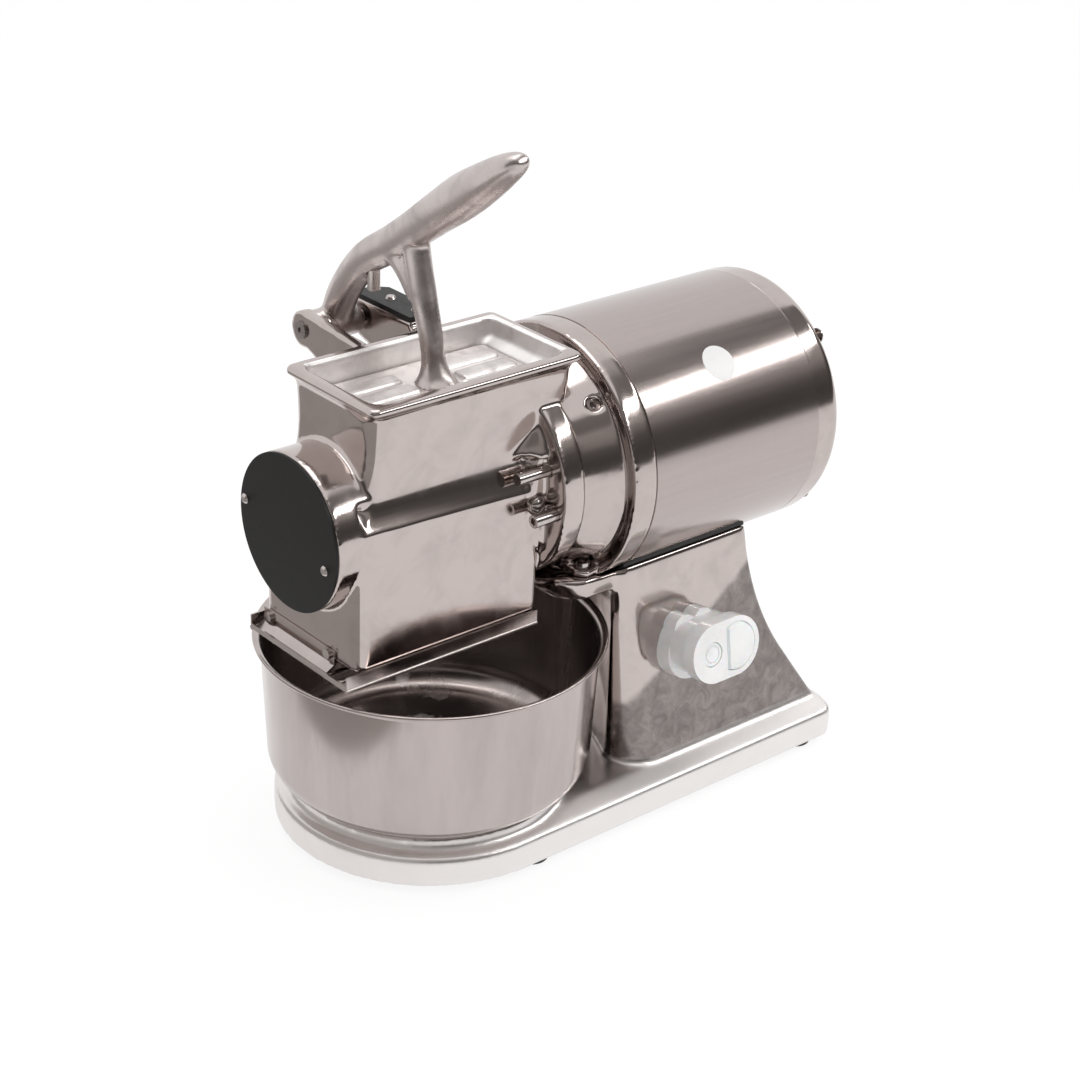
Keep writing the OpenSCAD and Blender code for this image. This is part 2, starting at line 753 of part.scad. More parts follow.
module front_flange() {
  color("#c9c2c0") difference() {
    union() {
      flange_body();
      difference() {
        for (s = [-1, 1]) {
          translate([motor_screw[0], s * motor_screw[1], shelf_z])
            cylinder(h = flange_foot_t, r = flange_foot_r);
          translate([motor_screw[0] - flange_foot_r, s * (motor_screw[1] + flange_foot_in) / 2, shelf_z])
            translate([0, (flange_foot_in - motor_screw[1]) / 2, 0])
              cube([2 * flange_foot_r - 2.5, motor_screw[1] - flange_foot_in, flange_foot_t]);
        }
        turned([[0, neck_front - 1], [neck_r1 - 2, neck_front - 1], [neck_r2 - 2, flange_front + 1],
          [0, flange_front + 1]]);
      }
    }
    for (s = [-1, 1]) translate([motor_screw[0], s * motor_screw[1], shelf_z + flange_foot_t]) {
      translate([0, 0, -flange_foot_t - 1]) cylinder(h = flange_foot_t + 2, r = motor_screw_r);
      cylinder(h = 4 * motor_screw_head_h, r = motor_screw_head_r + 1);
    }
    for (s = [-1, 1]) for (p = [bolt_a, bolt_c])
      rod_x(neck_front - 1, neck_front + neck_wall + 1, s * p[0], axis_z + p[1], bolt_shank_r);
    at_neck_screw() translate([0, 0, -20]) cylinder(h = 30, r = neck_screw_r);
    for (a = [45:90:315]) rod_x(web_front - 1, casing_front + spigot + 1,
      rod_place_r * cos(a), axis_z + rod_place_r * sin(a), rod_r);
  }
}

module flange_body() {
  turned([
      [neck_r1, neck_front], [neck_r2, flange_front], [motor_r, flange_front],
      [motor_r, casing_front], [casing_in_r, casing_front], [casing_in_r, casing_front + spigot],
      [casing_in_r - 4, casing_front + spigot], [casing_in_r - 4, web_rear],
      [bearing_r + 6, web_rear], [bearing_r + 6, front_bearing_x + bearing_w],
      [bearing_r, front_bearing_x + bearing_w], [bearing_r, front_bearing_x],
      [shaft_r + 4, front_bearing_x], [shaft_r + 4, web_front],
      [neck_r1 - neck_skin, web_front], [neck_r1 - neck_skin, neck_front + neck_wall],
      [ring_bore_r, neck_front + neck_wall], [ring_bore_r, neck_front]
  ]);
}

module neck_screw() {
  color("#8f8a88") at_neck_screw() translate([0, 0, -9.5]) difference() {
    cylinder(h = 7, r = neck_screw_r);
    translate([0, 0, 4]) cylinder(h = 4, r = 2.5, $fn = 6);
  }
}

module motor_casing() {
  color("#b8b0ae") turned([
    [casing_in_r, casing_front], [motor_r, casing_front],
    [motor_r, casing_rear], [casing_in_r, casing_rear]
  ]);
}

module rear_cap() {
  color("#c9c2c0") difference() {
    turned(concat(
      [[casing_in_r - 4, casing_rear - spigot], [casing_in_r, casing_rear - spigot],
        [casing_in_r, casing_rear], [motor_r, casing_rear]],
      [for (a = [0:15:90]) [motor_r - cap_edge_r + cap_edge_r * cos(a),
        cap_rear - cap_edge_r + cap_edge_r * sin(a)]],
      [[0, cap_rear], [0, cap_rear - cap_wall], [rear_bearing_r, cap_rear - cap_wall],
        [rear_bearing_r, rear_bearing_x], [rear_bearing_r + 5, rear_bearing_x],
        [rear_bearing_r + 5, cap_rear - cap_wall],
        [casing_in_r - 9, cap_rear - cap_wall], [casing_in_r - 9, casing_rear - spigot]]
    ));
    for (a = [45:90:315]) rod_x(casing_rear - spigot - 1, cap_rear + 1,
      rod_place_r * cos(a), axis_z + rod_place_r * sin(a), rod_r);
  }
}

module tie_rods() {
  color("#b0b0b0") for (a = [45:90:315])
    let (y = rod_place_r * cos(a), z = axis_z + rod_place_r * sin(a)) {
      rod_x(web_front + 1, cap_rear, y, z, rod_r);
      rod_x(cap_rear, cap_rear + 3, y, z, 2 * rod_r);
    }
}

module stator_core() {
  color("#6f6b69") difference() {
    turned([
      [stator_bore_r, stack_x], [casing_in_r, stack_x],
      [casing_in_r, stack_x + stack_l], [stator_bore_r, stack_x + stack_l]
    ]);
    for (a = [45:90:315]) rod_x(stack_x - 1, stack_x + stack_l + 1,
      rod_place_r * cos(a), axis_z + rod_place_r * sin(a), rod_r);
  }
}

module stator_windings() {
  color("#b5622d") for (x = [stack_x - winding_l, stack_x + stack_l]) turned([
    [stator_bore_r + 5, x], [winding_r - 2, x], [winding_r, x + 2],
    [winding_r, x + winding_l], [stator_bore_r + 3, x + winding_l],
    [stator_bore_r + 3, x + 2]
  ]);
}

// A ball bearing drawn as two races with a shallow groove between them on each face
module bearing(x, w, r_in, r_out) {
  mid = (r_in + r_out) / 2;
  turned([
    [r_in, x], [mid - 2, x], [mid - 2, x + 1], [mid + 2, x + 1], [mid + 2, x], [r_out, x],
    [r_out, x + w], [mid + 2, x + w], [mid + 2, x + w - 1], [mid - 2, x + w - 1],
    [mid - 2, x + w], [r_in, x + w]
  ]);
}

module front_bearing() {
  color("#a9a9a9") bearing(front_bearing_x, bearing_w, shaft_r + running_gap, bearing_r);
}

module rear_bearing() {
  color("#a9a9a9") bearing(rear_bearing_x, rear_bearing_w, journal_r + running_gap, rear_bearing_r);
}

// The head's outside at height z: front, rear and both sides
function fade(z, h) = pow(max(1 - (z - crease_z) / h, 0), 2);
function part_up(z, z0) = max(min((z - z0) / (hopper_top - z0), 1), 0);
function draft(z) = hopper_draft * part_up(z, crease_z + head_flare_h);
function lip(z) = 3 * pow(max(1 - (hopper_top - z) / 7, 0), 2);
function hopper_half(z) = mouth_w / 2 + hopper_skin - hopper_draft + draft(z);
function blend(a, b, t) = a + (b - a) * t;
function hopper_x0(z) = blend(-hopper_front, -chamber_front, fade(z, front_flare_h));
function hopper_x1(z) = blend(chamber_rear, hopper_rear, 1 - pow(1 - part_up(z, crease_z), 3.2));
function hopper_y0(z) = blend(mouth_shift - hopper_half(z), -chamber_half, fade(z, head_flare_h));
function hopper_y1(z) = blend(mouth_shift + hopper_half(z) + hopper_far_skin - hopper_skin,
  chamber_half, fade(z, head_flare_h));
function hopper_r(z) = blend(hopper_corner_r, chamber_corner_r, fade(z, head_flare_h));

// An outer ring of the head at height z; the crease's slope fades out with the flare
function head_ring(z) = [
  for (p = plan_ring(hopper_x0(z) - lip(z), hopper_x1(z) + lip(z), hopper_y0(z) - lip(z),
    hopper_y1(z) + lip(z), hopper_r(z), min(hopper_r(z), 5), z, 6))
    [p[0], p[1], p[2] - crease_drop * fade(z, head_flare_h) * (p[0] + chamber_front)
      / (chamber_front + chamber_rear)]
];

// Rear end of the hopper's inside at height z, ahead of the motor's neck where that is near
function inside_x1(z) = min(hopper_x1(z) - hopper_skin,
  blend(ring_rear - hopper_skin, mouth_rear, min(max((z - axis_z - neck_cover) / 6, 0), 1)));

module head_outside() {
  low = [for (k = [0:8]) crease_z + head_flare_h * k / 8];
  waist = crease_z + head_flare_h;
  high = [for (k = [1:6]) waist + (hopper_top - 7 - waist) * k / 6];
  top = [for (k = [1:4]) hopper_top - 7 + 7 * k / 4];
  foot = [for (p = head_ring(crease_z)) [p[0], p[1], chamber_bottom]];
  loft(concat([foot], [for (z = concat(low, high, top)) head_ring(z)]));
}

// The hopper's inside, smaller all round by inset
module hopper_inside(inset = 0) {
  waist = crease_z + head_flare_h;
  skin = hopper_skin + inset;
  levels = [for (k = [0:9]) waist + (hopper_top - waist) * k / 9];
  low = [for (z = [axis_z, crease_z]) plan_ring(-hopper_front + skin, cavity_rear - inset,
    hopper_y0(waist) + skin, hopper_y1(waist) - hopper_far_skin - inset, 6, 6, z, 4)];
  walls = [for (z = levels) plan_ring(-hopper_front + skin, inside_x1(z) - inset,
    hopper_y0(z) + skin, hopper_y1(z) - hopper_far_skin - inset, 6, 6, z, 4)];
  top = plan_ring(-mouth_front + inset, mouth_rear - inset, mouth_shift - mouth_w / 2 + inset,
    mouth_shift + mouth_w / 2 - inset, 6, 6, rim_z + 1, 4);
  loft(concat(low, walls, [top]));
}

// Outline of the rim, larger than the mouth by w all round
module rim_outline(w, r) {
  x0 = -mouth_front - w;
  x1 = mouth_rear + w;
  y0 = mouth_shift - mouth_w / 2 - w;
  y1 = mouth_shift + mouth_w / 2 + w;
  translate([x0 + r, y0]) square([x1 - x0 - 2 * r, y1 - y0]);
  translate([x0, y0 + r]) square([x1 - x0, y1 - y0 - 2 * r]);
  for (x = [x0 + r, x1 - r]) for (y = [y0 + r, y1 - r]) translate([x, y]) circle(r = r);
}

module ear_outline() {
  translate([hinge_y, hinge_z]) circle(r = eye_r);
  polygon([
    [wall_y, rim_z - 2], [hinge_y - 3, hinge_z + eye_r * 0.96], [hinge_y + 3, hinge_z],
    [hinge_y - 4, hinge_z - eye_r * 0.93], [wall_y, gusset_z]
  ]);
}

module box_outline() {
  polygon([
    [wall_y, box_top - 4], [box_near, box_top - 4], [box_near, box_top], [box_far - 8, box_top],
    [box_far, box_top - 8], [box_far, hinge_z - 4], [box_far - 9, box_floor],
    [wall_y, gusset_z]
  ]);
}

module at_lid_screws() {
  for (y = lid_screw_ys) translate([box_in + box_l / 2, y, 0]) children();
}

module head_casting() {
  color("#cdc6c4") difference() {
    union() {
      head_outside();
      translate([0, 0, hopper_top]) linear_extrude(height = rim_h - 1.5)
        rim_outline(rim_w, rim_corner_r);
      translate([0, 0, rim_z - 1.5]) linear_extrude(height = 1.5)
        rim_outline(rim_w - 1.4, rim_corner_r - 1.4);
      axle(-boss_front, -chamber_front + 5, boss_r);
      intersection() {
        axle(-chamber_front + 4, -mouth_front - 2, boss_r);
        translate([-chamber_front, -boss_shoulder_half, axis_z + boss_r / 2])
          cube([chamber_front, 2 * boss_shoulder_half - 2, boss_r]);
      }
      intersection() {
        turned([[0, ring_front - neck_flare_l], [chamber_half, ring_front - neck_flare_l],
          [neck_flare_r, ring_front], [neck_flare_r, ring_front + 1], [0, ring_front + 1]]);
        translate([0, -neck_flare_half, 0]) cube([ring_rear, 2 * neck_flare_half, rim_z]);
      }
      intersection() {
        turned([[0, ring_front - 2 * neck_flare_l], [chamber_half, ring_front - 2 * neck_flare_l],
          [ring_r - 0.5, ring_rear - 3], [0, ring_rear - 3]]);
        translate([0, -ring_r, neck_flare_top]) cube([ring_rear, 2 * ring_r, ring_r]);
      }
      turned([[0, ring_front], [ring_r - 1, ring_front], [ring_r, ring_front + 1],
        [ring_r, ring_rear - 1], [ring_r - 1, ring_rear], [0, ring_rear]]);
      across(ear_out, ear_in) ear_outline();
      across(box_in, box_out) box_outline();
      across(ear_in - 1, box_in + 1)
        polygon([[wall_y, gusset_z + 18], [wall_y + 20, gusset_z + 16], [wall_y, gusset_z]]);
    }
    hopper_inside();
    turned([[0, ring_rear], [neck_r1 + neck_gap, ring_rear],
      [neck_r2 + neck_gap, flange_front], [0, flange_front]]);
    axle(-cavity_front, cavity_rear, ceiling_r);
    translate([-cavity_front, -cavity_half, chamber_bottom - 1])
      cube([cavity_front + cavity_rear, 2 * cavity_half, axis_z - chamber_bottom + 1]);
    axle(-boss_front - 1, -cavity_front + 1, boss_bore_r);
    axle(cavity_rear - 1, head_back + 1, shaft_r + 2);
    axle(cavity_rear + 2, head_back + 1, seal_r);
    axle(head_back, ring_rear + 1, ring_bore_r);
    rod_x(ear_out - 1, box_out + 1, hinge_y, hinge_z, pin_r);
    translate([box_in + box_wall, box_near + 4 - box_wall, box_floor + 6])
      cube([box_l - 2 * box_wall, box_pocket_far - box_near, 40]);
    at_lid_screws() translate([0, 0, box_top - 8]) cylinder(h = 9, r = 1.6);
    for (s = [-1, 1]) {
      rod_x(ring_front - bolt_a_l - 1, ring_front, s * bolt_a[0], axis_z + bolt_a[1], bolt_r);
      rod_x(ring_front - 1, ring_rear + 1, s * bolt_a[0], axis_z + bolt_a[1], bolt_shank_r);
      rod_x(ring_front - bolt_c_l - 1, ring_front, s * bolt_c[0], axis_z + bolt_c[1],
        bolt_head_r);
      rod_x(ring_front - 1, ring_rear + 1, s * bolt_c[0], axis_z + bolt_c[1], bolt_shank_r);
      translate([lock_x, s * chamber_half, axis_z - lock_drop]) rotate([-90 * s, 0, 0]) {
        cylinder(h = 9, r = lock_head_r + 0.3);
        translate([0, 0, -4.2]) cylinder(h = 9, r = bolt_shank_r);
      }
    }
    for (p = disc_points)
      rod_x(-boss_front - 1, -boss_front + 9, p[0], axis_z + p[1], disc_screw_shank_r);
    for (p = guard_pin_points)
      rod_x(-chamber_front - 1, -chamber_front + 3, p[0], p[1], guard_pin_r);
  }
}

module head_bolts() {
  color("#bdb7b5") for (s = [-1, 1]) {
    rod_x(ring_front - bolt_a_l, ring_front, s * bolt_a[0], axis_z + bolt_a[1], bolt_r);
    rod_x(ring_front, neck_front + neck_wall, s * bolt_a[0], axis_z + bolt_a[1], bolt_shank_r);
    difference() {
      rod_x(ring_front - bolt_c_l, ring_front, s * bolt_c[0], axis_z + bolt_c[1], bolt_head_r);
      translate([ring_front - bolt_c_l - 1, s * bolt_c[0], axis_z + bolt_c[1]]) rotate([0, 90, 0])
        cylinder(h = 5, r = 2.6, $fn = 6);
    }
    rod_x(ring_front, neck_front + neck_wall, s * bolt_c[0], axis_z + bolt_c[1], bolt_shank_r);
  }
}

module locking_screws() {
  color("#bdb7b5") for (s = [-1, 1])
    translate([lock_x, s * chamber_half, axis_z - lock_drop]) rotate([-90 * s, 0, 0]) {
      translate([0, 0, -4]) cylinder(h = 4, r = bolt_shank_r);
      intersection() {
        cylinder(h = lock_head_h, r = lock_head_r);
        translate([0, 0, lock_head_h - lock_head_r * 1.25]) sphere(r = lock_head_r * 1.25);
      }
    }
}

module shaft_seal() {
  color("#2b2a29") turned([
    [shaft_r + running_gap, cavity_rear + 2], [seal_r, cavity_rear + 2],
    [seal_r, head_back], [shaft_r + 3, head_back], [shaft_r + 3, cavity_rear + 5],
    [shaft_r + running_gap, cavity_rear + 5]
  ]);
}

module front_disc() {
  color("#262424") difference() {
    union() {
      axle(-disc_front, -boss_front, disc_r);
      axle(-boss_front, -boss_front + 2, boss_bore_r - 0.2);
      axle(-boss_front, -boss_front + disc_hub_l, disc_hub_r);
    }
    axle(-boss_front + 0.5, -boss_front + disc_hub_l + 1, bush_r);
    for (p = disc_points)
      rod_x(-disc_front - 1, -boss_front + disc_hub_l, p[0], axis_z + p[1], disc_screw_shank_r);
  }
}

module disc_screws() {
  color("#d5d0ce") for (p = disc_points) {
    rod_x(-disc_front, -boss_front + 8, p[0], axis_z + p[1], disc_screw_shank_r);
    intersection() {
      rod_x(-disc_front - 2, -disc_front, p[0], axis_z + p[1], 3.2);
      translate([-disc_front + 1.6, p[0], axis_z + p[1]]) sphere(r = 3.9);
    }
  }
}

module disc_bush() {
  color("#b08d4a") turned([
    [journal_r + running_gap, -boss_front + 0.5], [bush_r, -boss_front + 0.5],
    [bush_r, -boss_front + disc_hub_l], [journal_r + running_gap, -boss_front + disc_hub_l]
  ]);
}

// The outlet guard: a sheet frame under the chamber with rods across the outlet and a flap that
// turns up against the chamber's front
guard_t = 1.2;
guard_half = chamber_half + 0.8;
guard_low = chamber_bottom - guard_h;
guard_top = chamber_bottom - 0.4;
guard_front = chamber_front + guard_lip;
guard_rear = chamber_rear - 2;
guard_flap_x = chamber_front + 0.3;
guard_flap_top = chamber_bottom + 6.5;
guard_pin_points = [[40, chamber_bottom + 1.5], [-21, chamber_bottom + 3.5]];
guard_pin_r = 2;

module outlet_guard() {
  color("#c4bebc") difference() {
    union() {
      for (s = [-1, 1]) {
        translate([-guard_front, s > 0 ? guard_half : -guard_half - guard_t, guard_low])
          cube([guard_front + guard_rear, guard_t, guard_top + 2 - guard_low]);
        rod_x(-guard_front, guard_rear, s * (guard_half + guard_t / 2), guard_low, guard_rod_r);
      }
      translate([guard_rear - guard_t, -guard_half - guard_t, guard_low])
        cube([guard_t, 2 * (guard_half + guard_t), guard_top - guard_low]);
      translate([-guard_front, -guard_half - guard_t, guard_low - guard_t / 2])
        cube([guard_t, 2 * (guard_half + guard_t), 3 * guard_t]);
      along(guard_pin_points[1][0] - 6, guard_pin_points[0][0] + 6) polygon([
        [-guard_front, guard_low - guard_t / 2], [-guard_front + guard_t, guard_low - guard_t / 2],
        [-guard_flap_x, guard_top - 2], [-guard_flap_x, guard_flap_top],
        [-guard_flap_x - guard_t, guard_flap_top], [-guard_flap_x - guard_t, guard_top - 1.5],
        [-guard_front, guard_low + guard_t]
      ]);
      for (i = [1:guard_rods]) rod_x(-guard_front + guard_t / 2, guard_rear - guard_t / 2,
        guard_half * (2 * i / (guard_rods + 1) - 1), guard_low, guard_rod_r);
      for (x = [-chamber_front * 0.4, chamber_rear * 0.1])
        translate([x, -guard_half - guard_t / 2, guard_low]) rotate([-90, 0, 0])
          cylinder(h = 2 * guard_half + guard_t, r = guard_rod_r);
    }
    for (p = guard_pin_points)
      rod_x(-guard_flap_x - guard_t - 1, -chamber_front + 1, p[0], p[1], guard_pin_r);
  }
}

module guard_pins() {
  color("#d5d0ce") for (p = guard_pin_points) {
    rod_x(-guard_flap_x - guard_t, -chamber_front + 2.5, p[0], p[1], guard_pin_r);
    rod_x(-guard_flap_x - guard_t - 2, -guard_flap_x - guard_t, p[0], p[1], guard_pin_r + 1.4);
  }
}

module hinge_pin() {
  color("#b9b4b2") {
    rod_x(ear_out, box_out - 1, hinge_y, hinge_z, pin_r);
    difference() {
      rod_x(ear_out - 1.6, ear_out, hinge_y, hinge_z, pin_r + 1.5);
      translate([ear_out - 2.6, hinge_y, hinge_z]) rotate([0, 90, 0])
        cylinder(h = 2, r = 2.2, $fn = 6);
    }
  }
}

module safety_switch() {
  color("#3a3938") translate([box_in + box_wall + 2, box_near + 12, box_floor + 6]) {
    cube([box_l - 2 * box_wall - 4, 20, 12]);
    translate([4, 8, 12]) cylinder(h = 3, r = 2);
  }
}

module sensor_lid() {
  color("#34302f") difference() {
    translate([0, 0, box_top]) linear_extrude(height = lid_t) polygon([
      [box_in, box_near], [box_out, box_near], [box_out, box_far - 14],
      [box_out - 8, box_far - 6], [box_in, box_far - 6]
    ]);
    at_lid_screws() translate([0, 0, box_top - 1]) cylinder(h = 9, r = 1.6);
  }
}

module lid_screws() {
  color("#d5d0ce") at_lid_screws() {
    translate([0, 0, box_top - 7]) cylinder(h = 7 + lid_t, r = 1.6);
    translate([0, 0, box_top + lid_t]) cylinder(h = 1.4, r1 = 3.4, r2 = 2.6);
  }
}

// Outline of the switch's front, larger by grow all round
module stadium(grow) {
  for (s = [-1, 1]) translate([s * switch_mid, 0]) circle(r = switch_end_r + grow);
  translate([-switch_mid, -switch_end_r - grow])
    square([2 * switch_mid, 2 * (switch_end_r + grow)]);
}

module stop_outline(grow) {
  intersection() {
    translate([switch_mid, 0]) circle(r = stop_r + grow);
    translate([stop_flat - grow, -switch_w]) square([switch_l, 2 * switch_w]);
  }
}

module switch_housing() {
  color("#d9d5d3") at_switch() difference() {
    union() {
      translate([0, -4, 0]) linear_extrude(height = switch_bezel_d) {
        stadium(-1);
        for (u = [-switch_mid - 3, switch_mid - 5]) translate([u, switch_end_r - 4]) circle(r = 9);
      }
      linear_extrude(height = switch_body_d) stadium(-2.5);
      translate([0, 0, switch_body_d - 3]) linear_extrude(height = switch_d - switch_body_d + 3)
        stadium(0);
      translate([0, 0, -spigot_l]) cylinder(h = spigot_l, r = spigot_r);
    }
    translate([start_u, 0, switch_d - button_depth - button_travel - 1])
      cylinder(h = 40, r = start_r + button_gap);
    translate([0, 0, switch_d - button_depth - button_travel - 1]) linear_extrude(height = 40)
      stop_outline(button_gap);
  }
}

module start_button() {
  color("#e6e3e1") at_switch() translate([start_u, 0, switch_d - button_depth]) {
    difference() {
      cylinder(h = button_depth + start_proud, r = start_r);
      translate([0, 0, button_depth + start_proud - 0.8]) difference() {
        cylinder(h = 1, r = start_r - 2);
        translate([0, 0, -1]) cylinder(h = 3, r = start_r - 3);
      }
    }
  }
}

module stop_button() {
  color("#f2efed") at_switch() translate([0, 0, switch_d - button_depth]) {
    linear_extrude(height = button_depth + stop_proud - 1) stop_outline(0);
    translate([0, 0, button_depth + stop_proud - 1]) linear_extrude(height = 1) stop_outline(-1);
  }
}

module motor_shaft() {
  color("#a9a9a9") {
    axle(-drum_front, rear_bearing_x - 1, shaft_r);
    axle(-shaft_end, -drum_front, journal_r);
    axle(rear_bearing_x - 1, rear_bearing_x + rear_bearing_w + 0.5, journal_r);
  }
}

module rotor_core() {
  color("#8f8a88") turned([
    [shaft_r, stack_x - 4], [rotor_r - 8, stack_x - 4], [rotor_r - 8, stack_x],
    [rotor_r, stack_x], [rotor_r, stack_x + stack_l], [rotor_r - 8, stack_x + stack_l],
    [rotor_r - 8, stack_x + stack_l + 4], [shaft_r, stack_x + stack_l + 4]
  ]);
}

module cooling_fan() {
  color("#3a3938") {
    turned([
      [shaft_r, fan_x], [shaft_r + 8, fan_x], [shaft_r + 8, fan_x + 2],
      [fan_r, fan_x + 2], [fan_r, fan_x + 4], [shaft_r + 8, fan_x + 4],
      [shaft_r + 8, fan_x + fan_w], [shaft_r, fan_x + fan_w]
    ]);
    for (i = [0:fan_blades - 1]) translate([fan_x + 4, 0, axis_z]) rotate([360 * i / fan_blades, 0, 0])
      translate([0, -1, shaft_r + 7]) cube([fan_w - 5, 2, fan_r - shaft_r - 9]);
  }
}

module grating_drum() {
  pitch = (drum_front + drum_rear - 14) / (tooth_rings - 1);
  color("#b8b2b0") {
    turned([
      [drum_r - drum_t, -drum_front], [drum_r, -drum_front],
      [drum_r, drum_rear], [drum_r - drum_t, drum_rear]
    ]);
    for (k = [0:tooth_rings - 1]) for (i = [0:teeth_per_ring - 1])
      translate([-drum_front + 7 + k * pitch, 0, axis_z])
        rotate([360 * (i + (k % 2) / 2) / teeth_per_ring, 0, 0])
          translate([0, 0, drum_r - 0.4]) cylinder(h = tooth_h + 0.4, r1 = tooth_r, r2 = 1, $fn = 16);
  }
}

module drum_ends() {
  inner = drum_r - drum_t;
  color("#c9c2c0") {
    turned([[shaft_r, -drum_front], [inner, -drum_front], [inner, -drum_front + drum_cap_t],
      [drum_hub_r, -drum_front + drum_cap_t], [drum_hub_r, -drum_front + drum_hub_l],
      [shaft_r, -drum_front + drum_hub_l]]);
    turned([[shaft_r, drum_rear - drum_hub_l], [drum_hub_r, drum_rear - drum_hub_l],
      [drum_hub_r, drum_rear - drum_cap_t], [inner, drum_rear - drum_cap_t],
      [inner, drum_rear], [shaft_r, drum_rear]]);
  }
}

module drum_nut() {
  color("#a9a9a9") difference() {
    translate([-drum_front - nut_l, 0, axis_z]) rotate([0, 90, 0])
      cylinder(h = nut_l, r = nut_r, $fn = 6);
    axle(-drum_front - nut_l - 1, -drum_front + 1, journal_r);
  }
}

module lever_arm() {
  color("#cdc6c4") difference() {
    union() {
      loft(oval_rings(bent(arm_line, 3), 22));
      loft(oval_rings(bent(leg_line, 3), 20));
      loft(oval_rings(bent(web_line, 3), 18));
      rod_x(lever_x - barrel_half, lever_x + barrel_half, hinge_y, hinge_z, barrel_r);
    }
    rod_x(lever_x - barrel_half - 1, lever_x + barrel_half + 1, hinge_y, hinge_z,
      pin_r + running_gap);
    for (p = groove_centres)
      rod_x(lever_x - 20, lever_x + 20, p[0] - groove_r * 0.55, p[1] - groove_r + groove_d * 0.6,
        groove_r);
    translate([lever_x, hinge_y - magnet_back, hinge_z + magnet_low - 4])
      cylinder(h = magnet_l + 4, r = magnet_r);
    translate([lever_x, leg_foot_y, press_top - 1]) cylinder(h = 15, r = press_screw_r);
    translate([lever_x - 30, leg_foot_y - 30, press_top - 20]) cube([60, 60, 20]);
  }
}

// The space the presser may fill as it swings through the mouth, smaller by inset
module press_path(inset) {
  x0 = -mouth_front + press_gap + inset;
  x1 = mouth_rear - press_gap - inset;
  r = press_swing - inset;
  translate([0, hinge_y, hinge_z - axis_z]) turned([
    [0, x0], [r - press_corner, x0], [r, x0 + press_corner], [r, x1 - press_rear_corner],
    [r - press_rear_corner, x1], [0, x1]
  ]);
}

module presser() {
  color("#c4bebc") difference() {
    union() {
      intersection() {
        hopper_inside(press_gap);
        translate([-chamber_front, -chamber_front, press_low])
          cube([2 * chamber_front, 2 * chamber_front, press_top - press_low]);
        press_path(0);
      }
      intersection() {
        press_path(1);
        for (r = press_ribs) for (y = press_rib_ys)
          translate([r[0], y - r[2] / 2 + 0.5, press_top - 1])
            cube([r[1] - r[0], r[2] - 2, rib_h + 1]);
      }
    }
    axle(-100, 100, press_hollow_r);
    translate([lever_x, leg_foot_y, press_low]) {
      cylinder(h = 60, r = press_screw_r);
      cylinder(h = press_screw_up, r = press_screw_head_r);
    }
  }
}

module presser_screw() {
  color("#b9b4b2") translate([lever_x, leg_foot_y, 0]) {
    translate([0, 0, press_low + press_screw_up - 4])
      cylinder(h = 4, r = press_screw_head_r - 0.2);
    translate([0, 0, press_low + press_screw_up])
      cylinder(h = press_top + 12 - press_low - press_screw_up, r = press_screw_r);
  }
}

module magnet_holder() {
  color("#bdb7b5") translate([lever_x, hinge_y - magnet_back, 0]) {
    translate([0, 0, hinge_z + magnet_low]) cylinder(h = magnet_l, r = magnet_r);
  }
}

module bowl() {
  floor_z = base_top + seat_h + 0.3;
  edge_z = floor_z + bowl_edge_r;
  edge_x = bowl_foot_r - bowl_edge_r;
  lip_z = bowl_rim_z - bowl_lip - bowl_t;
  color("#bab3b1") rotate_extrude($fn = 128) {
    polygon(concat(
      [[0, floor_z]],
      [for (a = [0:15:90]) [edge_x + bowl_edge_r * sin(a), edge_z - bowl_edge_r * cos(a)]],
      [for (a = [0:18:90]) [bowl_rim_r - bowl_lip * cos(a), lip_z + bowl_lip * sin(a)]],
      [for (a = [90:-18:0]) [bowl_rim_r - (bowl_lip + bowl_t) * cos(a),
        lip_z + (bowl_lip + bowl_t) * sin(a)]],
      [for (a = [90:-15:0]) [edge_x + (bowl_edge_r - bowl_t) * sin(a),
        edge_z - (bowl_edge_r - bowl_t) * cos(a)]],
      [[0, floor_z + bowl_t]]
    ));
    translate([bowl_rim_r - bead_r, bowl_rim_z - bead_r]) circle(r = bead_r, $fn = 32);
  }
}

place() base_casting();
place() bottom_cover();
place() cover_screws();
place() feet();
place() foot_screws();
place() cable_gland();
place() capacitor();
place() capacitor_clamp();
place() motor_gasket();
place() motor_screws();
place() front_flange();
place() neck_screw();
place() motor_casing();
place() rear_cap();
place() tie_rods();
place() stator_core();
place() stator_windings();
place() front_bearing();
place() rear_bearing();
place() head_casting();
place() head_bolts();
place() locking_screws();
place() shaft_seal();
place() front_disc();
place() disc_screws();
place() disc_bush();
place() outlet_guard();
place() guard_pins();
place() hinge_pin();
place() safety_switch();
place() sensor_lid();
place() lid_screws();
place() switch_housing();
place() motor_shaft();
place() rotor_core();
place() cooling_fan();
place() grating_drum();
place() drum_ends();
place() drum_nut();
place() lever_arm();
place() presser();
place() presser_screw();
place() magnet_holder();
place() bowl();
place() start_button();
place() stop_button();
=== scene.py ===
"""Looks of an electric cheese grater: polished castings, a brushed motor, a spun bowl.

The machine stands with its motor along X and its bowl towards -X. Every place is read from the
fixed frame, and every length in the classes below is in millimetres unless it says otherwise.
"""

from __future__ import annotations

import logging
import math
from dataclasses import dataclass
from enum import Enum
from typing import Callable, ClassVar, Iterable, Sequence

import bmesh
import bpy
from mathutils import Matrix, Vector

